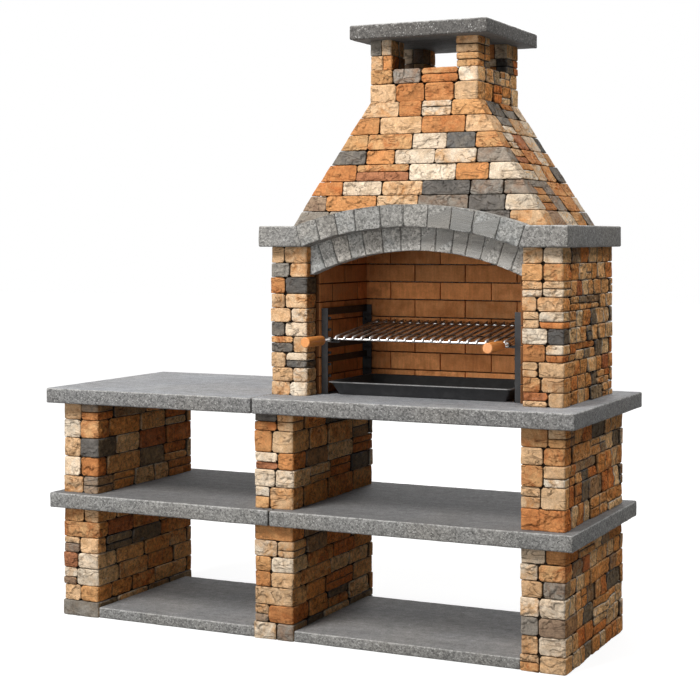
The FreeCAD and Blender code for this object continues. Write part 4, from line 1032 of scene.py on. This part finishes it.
# Each chimney post is two courses of corner stones that close round its core
POST_SCORE_CHANCE = 0.75
POST_SCORE_SPAN = (0.4, 0.6)
POST_BED_CHANCE = 0.4
POST_REACH = 0.08
SAME_LEVEL = 0.001
rng = np.random.default_rng(63)
post_colours = stone_colours(HOOD_MIX, rng)
post_boxes = boxes_of(node_solids("chimney_post_stones"))
posts = Heap()
for core in node_solids("chimney_post_cores"):
    middle = core.points.mean(axis=0)
    around = [box for box in post_boxes if np.linalg.norm(sum(box)[:2] / 2 - middle[:2]) < POST_REACH]
    for bottom in sorted({round(float(lowest[2]), 4) for lowest, _ in around}):
        course = np.array([box for box in around if abs(box[0][2] - bottom) < SAME_LEVEL])
        lowest = course[:, 0].min(axis=0)
        highest = course[:, 1].max(axis=0)
        outline = rectangle(lowest, highest)
        scores = []
        for _ in outline:
            scores.append([rng.uniform(*POST_SCORE_SPAN)] if rng.random() < POST_SCORE_CHANCE else [])
        bed = (lowest[2] + highest[2]) / 2 if rng.random() < POST_BED_CHANCE else None
        block(posts, outline, outline, lowest[2], highest[2], ALL_SEEN, STONE, rng, post_colours,
              edge_scores=scores, bed=bed)
posts.piece("chimney_post_split", STONE_FINISH, "split_stone", "chimney_post_stones", "chimney_post_cores")


# Slabs

CHAMFER = 0.004
LEVEL_TOLERANCE = 0.0005
# Half of the narrow dry joint between two slabs
HALF_JOINT = 0.0022


def slab_piece(node, seed, finish, slot="cast_concrete", chamfer=CHAMFER, gaps=(0, 0), flare=0):
    """One cast slab, its left and right ends drawn back at a joint or flared towards the top."""
    points = node_solids(node)[0].points
    levels = (points[:, 2].min(), points[:, 2].max())
    ends = []
    for level in (levels[0] + chamfer, levels[1] - chamfer):
        at_level = points[np.abs(points[:, 2] - level) < LEVEL_TOLERANCE]
        outline = rectangle(at_level.min(axis=0), at_level.max(axis=0))
        outline[[0, 3], 0] += gaps[0]
        outline[[1, 2], 0] -= gaps[1]
        ends.append(outline)
    low, high = ends
    high[[0, 3], 0] -= flare
    high[[1, 2], 0] += flare
    plain_piece(f"{node}_cast", low, high, levels, SLAB, seed, finish, slot, node)


# Slabs in pairs, left and right. Shelves and worktops butt over the middle pier
SLAB_PAIRS = (
    ("left_base_slab", "right_base_slab", BASE_PAINTED_SHADE_FINISH, 0),
    ("left_shelf", "right_shelf", SHELF_PAINTED_SHADE_FINISH, HALF_JOINT),
    ("side_table_top", "grill_worktop", WORKTOP_FINISH, HALF_JOINT),
    ("mantel_left_slab", "mantel_right_slab", MANTEL_FINISH, 0),
)
for index, (left, right, finish, gap) in enumerate(SLAB_PAIRS):
    slab_piece(left, 71 + 2 * index, finish, gaps=(0, gap))
    slab_piece(right, 72 + 2 * index, finish, gaps=(gap, 0))
# The rear beam fills the gap between the sloping ends of the mantel slabs
beam_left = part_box("mantel_rear_beam")[0][0]
slab_left = node_solids("mantel_left_slab")[0].points
slab_end = slab_left[slab_left[:, 2] > slab_left[:, 2].max() - 2 * CHAMFER, 0].max()
slab_piece("mantel_rear_beam", 81, MANTEL_FINISH, chamfer=0, flare=beam_left - slab_end - HALF_JOINT)
slab_piece("chimney_cap", 82, CAP_FINISH, "cap_concrete")


# Arches and firebrick lining

def block_piece(node, seed, style, finish, slot, colours, axes=UPRIGHT, centre=None, inward=False):
    """The arch stones or bricks of one node."""
    rng = np.random.default_rng(seed)
    solids = [turned(solid, axes) for solid in node_solids(node)]
    boxes = boxes_of(solids)
    pick = paired_colours(*colours, rng)
    heap = Heap()
    for i, solid in enumerate(solids):
        low, high, bottom, top = outlines(solid)
        seen = exposed_edges(low, high, bottom, top, boxes[:i] + boxes[i + 1:], centre, inward)
        block(heap, low, high, bottom, top, seen, style, rng, pick, axes)
    heap.piece(f"{node}_laid", finish, slot, node)


# Main colour, second colour, and how far single blocks stray from them
ARCH_GREYS = (linear(134, 133, 130), linear(118, 117, 114), 0.12)
# Painted light: the lower arch gets paler greys than the upper arch, against the shade it lies in
LOWER_ARCH_PAINTED_LIGHT_GREYS = (linear(166, 164, 160), linear(146, 144, 140), 0.12)
BRICK_BUFFS = (linear(216, 147, 93), linear(198, 128, 76), 0.18)
HEARTH_CENTRE = np.array([0.42, 0.0])
for index, (arch, greys) in enumerate({"upper": ARCH_GREYS, "lower": LOWER_ARCH_PAINTED_LIGHT_GREYS}.items()):
    node = f"{arch}_arch_voussoirs"
    block_piece(node, 91 + index, VOUSSOIR, VOUSSOIR_FINISH, "cast_concrete", greys, FACING_FRONT)
LININGS = {"back": BACK_BRICK_FINISH, "left": SIDE_BRICK_FRONT_SHADE_FINISH, "right": SIDE_BRICK_FRONT_SHADE_FINISH}
for index, (side, finish) in enumerate(LININGS.items()):
    node = f"{side}_lining_bricks"
    block_piece(node, 95 + index, BRICK, finish, "firebrick", BRICK_BUFFS, centre=HEARTH_CENTRE, inward=True)


# Solids that keep their shape and get worn edges

# Edges that turn by more than this are worn, and flatter joins inside a face are dissolved
SHARP = math.radians(38)
FLAT = math.radians(1)
SHADING_TURN = math.radians(32)


def worn_piece(node, finish, slot, wear, segments=2, body="masonry"):
    """The node's own shape with its sharp edges broken by a small round."""
    mesh = bmesh.new()
    mesh.from_mesh(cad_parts[node].data)
    bmesh.ops.remove_doubles(mesh, verts=mesh.verts[:], dist=WELD)
    bmesh.ops.dissolve_limit(mesh, angle_limit=FLAT, verts=mesh.verts[:], edges=mesh.edges[:])
    sharp = [edge for edge in mesh.edges if edge.is_manifold and edge.calc_face_angle(0) > SHARP]
    bmesh.ops.bevel(mesh, geom=sharp, offset=wear, segments=segments, affect="EDGES", clamp_overlap=True)
    made = bpy.data.meshes.new(f"{node}_worn")
    mesh.to_mesh(made)
    mesh.free()
    made.polygons.foreach_set("use_smooth", [True] * len(made.polygons))
    made.set_sharp_from_angle(angle=SHADING_TURN)
    placed(bpy.data.objects.new(f"{node}_worn", made), finish, body, slot, node)


PANEL_WEAR = 0.003
FRAME_WEAR = 0.0008
PEG_WEAR = 0.0006
NUT_WEAR = 0.001
BAR_WEAR = 0.0012
worn_piece("firebox_back_panel", PANEL_FINISH, "core_concrete", PANEL_WEAR)
for node in (*[f"hood_{side}_panel" for side in ("front", "right", "back", "left")], "chimney_panels"):
    worn_piece(node, MORTAR_FINISH, "core_concrete", PANEL_WEAR)
for side in ("left", "right"):
    for node in (f"{side}_front_post", f"{side}_rear_post", f"{side}_frame_rails"):
        worn_piece(node, STEEL_FINISH, "black_steel", FRAME_WEAR)
for node in ("frame_pegs", "grill_rest_pins", "frame_bolts"):
    worn_piece(node, STEEL_FINISH, "black_steel", PEG_WEAR)
worn_piece("handle_collars", NUT_FINISH, "chromed_steel", NUT_WEAR, 3, "grill")
for bar in ("left_side", "right_side", "front", "rear"):
    worn_piece(f"grill_{bar}_bar", CHROME_FINISH, "chromed_steel", BAR_WEAR, 3, "grill")


# Grill rods and handles

def axis_ends(points):
    """Centres of the two ends of a long straight solid, rear end first."""
    along = points @ np.linalg.svd(points - points.mean(axis=0), full_matrices=False)[2][0]
    middle = (along.min() + along.max()) / 2
    ends = [points[along < middle].mean(axis=0), points[along >= middle].mean(axis=0)]
    return sorted(ends, key=lambda end: -end[1])


def tube(heap, path, radii, side, sides=16, values=None):
    """Adds a round bar along a path that bends only about one side direction."""
    path = np.array(path)
    ahead = np.gradient(path, axis=0)
    ahead = ahead / np.linalg.norm(ahead, axis=1)[:, None]
    side = np.array(side, dtype=float)
    other = np.cross(ahead, side)
    turns = np.linspace(0, 2 * math.pi, sides, endpoint=False)
    ring = np.cos(turns)[None, :, None] * side + np.sin(turns)[None, :, None] * other[:, None, :]
    heap.add_rings(path[:, None, :] + ring * np.array(radii)[:, None, None], values)


DOME_TURNS = np.radians([75, 50, 25])


def domed(path, radius, dome):
    """A path with domed ends, and the radius at each of its points."""
    path = [np.array(point, dtype=float) for point in path]
    first = (path[0] - path[1]) / np.linalg.norm(path[0] - path[1])
    last = (path[-1] - path[-2]) / np.linalg.norm(path[-1] - path[-2])
    start = [path[0] + first * dome * math.sin(turn) for turn in DOME_TURNS]
    end = [path[-1] + last * dome * math.sin(turn) for turn in DOME_TURNS[::-1]]
    rims = [radius * math.cos(turn) for turn in DOME_TURNS]
    return start + path + end, rims + [radius] * len(path) + rims[::-1]


ACROSS = (1, 0, 0)
ROD_RADIUS = 0.0049
ROD_DOME = 0.0012
ROD_SHARES = (0, 0.03, 0.5, 0.94, 0.975)
# How far the tip reaches from its hook, and how much of the fire's browning it shows
TIP_LENGTH = 0.012
TIP_FIRED = 0.2
HOOK_TURNS = np.radians(np.arange(0, 81, 16))
front_bar = box_centre("grill_front_bar")
rear_bar = box_centre("grill_rear_bar")
rearward = (rear_bar - front_bar) / np.linalg.norm(rear_bar - front_bar)
grill_up = np.cross(ACROSS, rearward)

rods = Heap()
for rod in node_solids("grill_rods"):
    rear, front = axis_ends(rod.points)
    bar = np.array([front[0], front_bar[1], front_bar[2]])
    lift = (front - bar) @ grill_up
    hook = [bar + lift * (math.cos(turn) * grill_up - math.sin(turn) * rearward) for turn in HOOK_TURNS]
    straight = [rear + share * (hook[0] - rear) for share in ROD_SHARES]
    path, radii = domed([*straight, *hook], ROD_RADIUS, ROD_DOME)
    fired = [TIP_FIRED if abs((point - hook[0]) @ rearward) < TIP_LENGTH else 1.0 for point in path]
    tube(rods, path, radii, ACROSS, values={"fired": np.array(fired)[:, None, None]})
rods.piece("grill_rods_round", ROD_FINISH, "chromed_steel", "grill_rods", body="grill")

# Turned handle: share of its length from the nut's side, and share of its full radius there
HANDLE_PROFILE = [
    (0, 0.56), (0.008, 0.7), (0.022, 0.82), (0.045, 0.9), (0.09, 0.945), (0.2, 0.96), (0.4, 0.975),
    (0.6, 1.0), (0.85, 1.0), (0.955, 0.985), (0.98, 0.965), (0.994, 0.92), (1, 0.84),
]
HANDLE_RADIUS = 0.020
HANDLE_SIDES = 40
for node in ("left_handle", "right_handle"):
    points = node_solids(node)[0].points
    middle = box_centre(node)
    front, rear = points[:, 1].min(), points[:, 1].max()
    path = [(middle[0], rear + share * (front - rear), middle[2]) for share, _ in HANDLE_PROFILE]
    turning = Heap()
    tube(turning, path, [HANDLE_RADIUS * share for _, share in HANDLE_PROFILE], ACROSS, HANDLE_SIDES)
    turning.piece(f"{node}_turned", WOOD_FINISH, "turned_wood", node, body="grill")


# Ash tray: pressed pan with a rolled rim

TRAY_RIM = 0.012
TRAY_TAPER = 0.022
TRAY_WALL = 0.003
TRAY_CORNER = 0.009
TRAY_LIP = 0.006


def rounded_ring(lowest, highest, inset, radius, level, steps=8):
    """Plan ring of a rectangle with rounded corners, at a level."""
    ring = []
    west, south = lowest[0] + (inset + radius), lowest[1] + (inset + radius)
    east, north = highest[0] - (inset + radius), highest[1] - (inset + radius)
    for quarter, (x, y) in enumerate(((east, north), (west, north), (west, south), (east, south))):
        for turn in np.radians(90 * quarter + np.linspace(0, 90, steps)):
            ring.append((x + radius * math.cos(turn), y + radius * math.sin(turn), level))
    return ring


def tray_profile(bottom, top):
    """Inset and height round the pan's section: outside up from its foot, rolled rim, and inside down."""
    foot = TRAY_RIM + TRAY_TAPER
    lip = top - TRAY_LIP
    outside = [(foot + 0.004, bottom), (foot + 0.001, bottom + 0.001), (foot - 0.001, bottom + 0.004)]
    climb = [(TRAY_RIM + 0.002, lip - 0.004), (TRAY_RIM, lip - 0.001), (TRAY_RIM - 0.003, lip)]
    half = TRAY_LIP / 2
    roll = [(half + half * math.cos(turn), lip + half + half * math.sin(turn))
            for turn in np.radians([-90, -120, -150, 180, 150, 120, 90])]
    over = [(TRAY_RIM, top), (TRAY_RIM + 0.003, top - 0.001), (TRAY_RIM + 0.005, top - 0.005)]
    inside = [(foot + TRAY_WALL - 0.001, bottom + 0.008), (foot + TRAY_WALL + 0.002, bottom + 0.004),
              (foot + TRAY_WALL + 0.008, bottom + TRAY_WALL)]
    return outside + climb, roll, over + inside


lowest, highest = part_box("ash_tray")
outside, roll, inside = tray_profile(lowest[2], highest[2])
section = outside + roll + inside
# Painted highlight on the rolled rim; the inside is sooty
rim_highlight_share = np.array([0] * len(outside) + [1] * len(roll) + [0] * len(inside), dtype=float)
soot_share = np.array([0] * len(outside + roll) + [1] * len(inside), dtype=float)
rings = [rounded_ring(lowest, highest, inset, TRAY_CORNER + max(0, TRAY_RIM - inset), level)
         for inset, level in section]
pan = Heap()
pan.add_rings(np.array(rings), {"rim": rim_highlight_share[:, None, None], "soot": soot_share[:, None, None]})
pan.piece("ash_tray_pressed", TRAY_FINISH, "black_steel", "ash_tray", body="tray")


# Camera, floor and light

PICTURE_WIDTH = 700
FOCAL_PIXELS = 1533.84
PRINCIPAL_POINT = (404.53, 239.06)
CAMERA_PLACE = (2.7937, -5.4916, 1.5299)
CAMERA_YAW = 24.56
camera_data = bpy.data.cameras.new("camera")
camera_data.sensor_width = 36
camera_data.lens = FOCAL_PIXELS * camera_data.sensor_width / PICTURE_WIDTH
camera_data.shift_x = (PICTURE_WIDTH / 2 - PRINCIPAL_POINT[0]) / PICTURE_WIDTH
camera_data.shift_y = (PRINCIPAL_POINT[1] - PICTURE_WIDTH / 2) / PICTURE_WIDTH
camera = bpy.data.objects.new("camera", camera_data)
camera.location = CAMERA_PLACE
camera.rotation_euler = (math.radians(90), 0, math.radians(CAMERA_YAW))
bpy.context.scene.collection.objects.link(camera)
bpy.context.scene.camera = camera


# The floor's own glow grows from the first level to the second over this reach from the middle
GLOW_REACH = (1.4, 3.2)
GLOW_LEVELS = (0.86, 1.0)


def floor_finish():
    """Pale floor that the camera sees as white where the object's shadow doesn't fall."""
    finish = Finish("pale_floor", Roughness=0.9, Specular_IOR_Level=0.0)
    finish.shader.inputs["Base Color"].default_value = linear(132, 132, 132)
    away = finish.node("ShaderNodeVectorMath", {0: finish.place}, "Value", operation="LENGTH")
    level = finish.span(away, *GLOW_REACH, *GLOW_LEVELS)
    strength = finish.math("MULTIPLY", finish.rays("Is Camera Ray", "Is Glossy Ray"), level)
    glow = finish.node("ShaderNodeEmission", {"Strength": strength})
    both = finish.node("ShaderNodeAddShader", {0: finish.shader.outputs[0], 1: glow})
    finish.tree.links.new(both, finish.tree.nodes["Material Output"].inputs["Surface"])
    return finish.material


FLOOR_HALF = 30
FLOOR_DROP = 0.0005
floor_plan = rectangle((-FLOOR_HALF, -FLOOR_HALF), (FLOOR_HALF, FLOOR_HALF))
floor_mesh = bpy.data.meshes.new("floor")
floor_mesh.from_pydata([(*corner, 0) for corner in floor_plan.tolist()], [], [(0, 1, 2, 3)])
floor = bpy.data.objects.new("floor", floor_mesh)
floor.location.z = -FLOOR_DROP
floor_mesh.materials.append(floor_finish())
bpy.context.scene.collection.objects.link(floor)


MIDDLE = np.array([0, 0, 1.1])
# Soft square lamps that face the middle: place, size, power and colour
LAMPS = {
    "key": ((-1.7, -4.6, 6.2), 2.6, 670, (1.0, 0.985, 0.96)),
    "front": ((-0.7, -6.4, 2.0), 3.0, 122, (1.0, 0.985, 0.96)),
    "right": ((3.6, 0.6, 6.2), 2.6, 205, (1.0, 0.99, 0.97)),
    "back": ((-1.0, 6.2, 4.2), 3.0, 160, (1.0, 1.0, 1.0)),
}
for name, (place, size, power, colour) in LAMPS.items():
    data = bpy.data.lights.new(name, "AREA")
    data.size = size
    data.energy = power
    data.color = colour
    lamp = bpy.data.objects.new(name, data)
    lamp.location = place
    direction = MIDDLE - np.array(place)
    yaw = math.atan2(direction[1], direction[0]) - math.pi / 2
    pitch = math.atan2(direction[2], np.linalg.norm(direction[:2])) + math.pi / 2
    lamp.rotation_euler = (pitch, 0, yaw)
    bpy.context.scene.collection.objects.link(lamp)

# The sky is white to look at, and lights the object only a little
SKY_LIGHT = 0.07
world = bpy.data.worlds.new("studio")
bpy.context.scene.world = world
world.use_nodes = True
sky = Nodes(world.node_tree)
looked_at = sky.rays("Is Camera Ray", "Is Glossy Ray", "Is Transmission Ray")
background = sky.tree.nodes["Background"]
background.inputs["Color"].default_value = (1, 1, 1, 1)
sky.tree.links.new(sky.span(looked_at, 0.0, 1.0, SKY_LIGHT, 1.0), background.inputs["Strength"])
bpy.context.scene.view_settings.view_transform = "Standard"
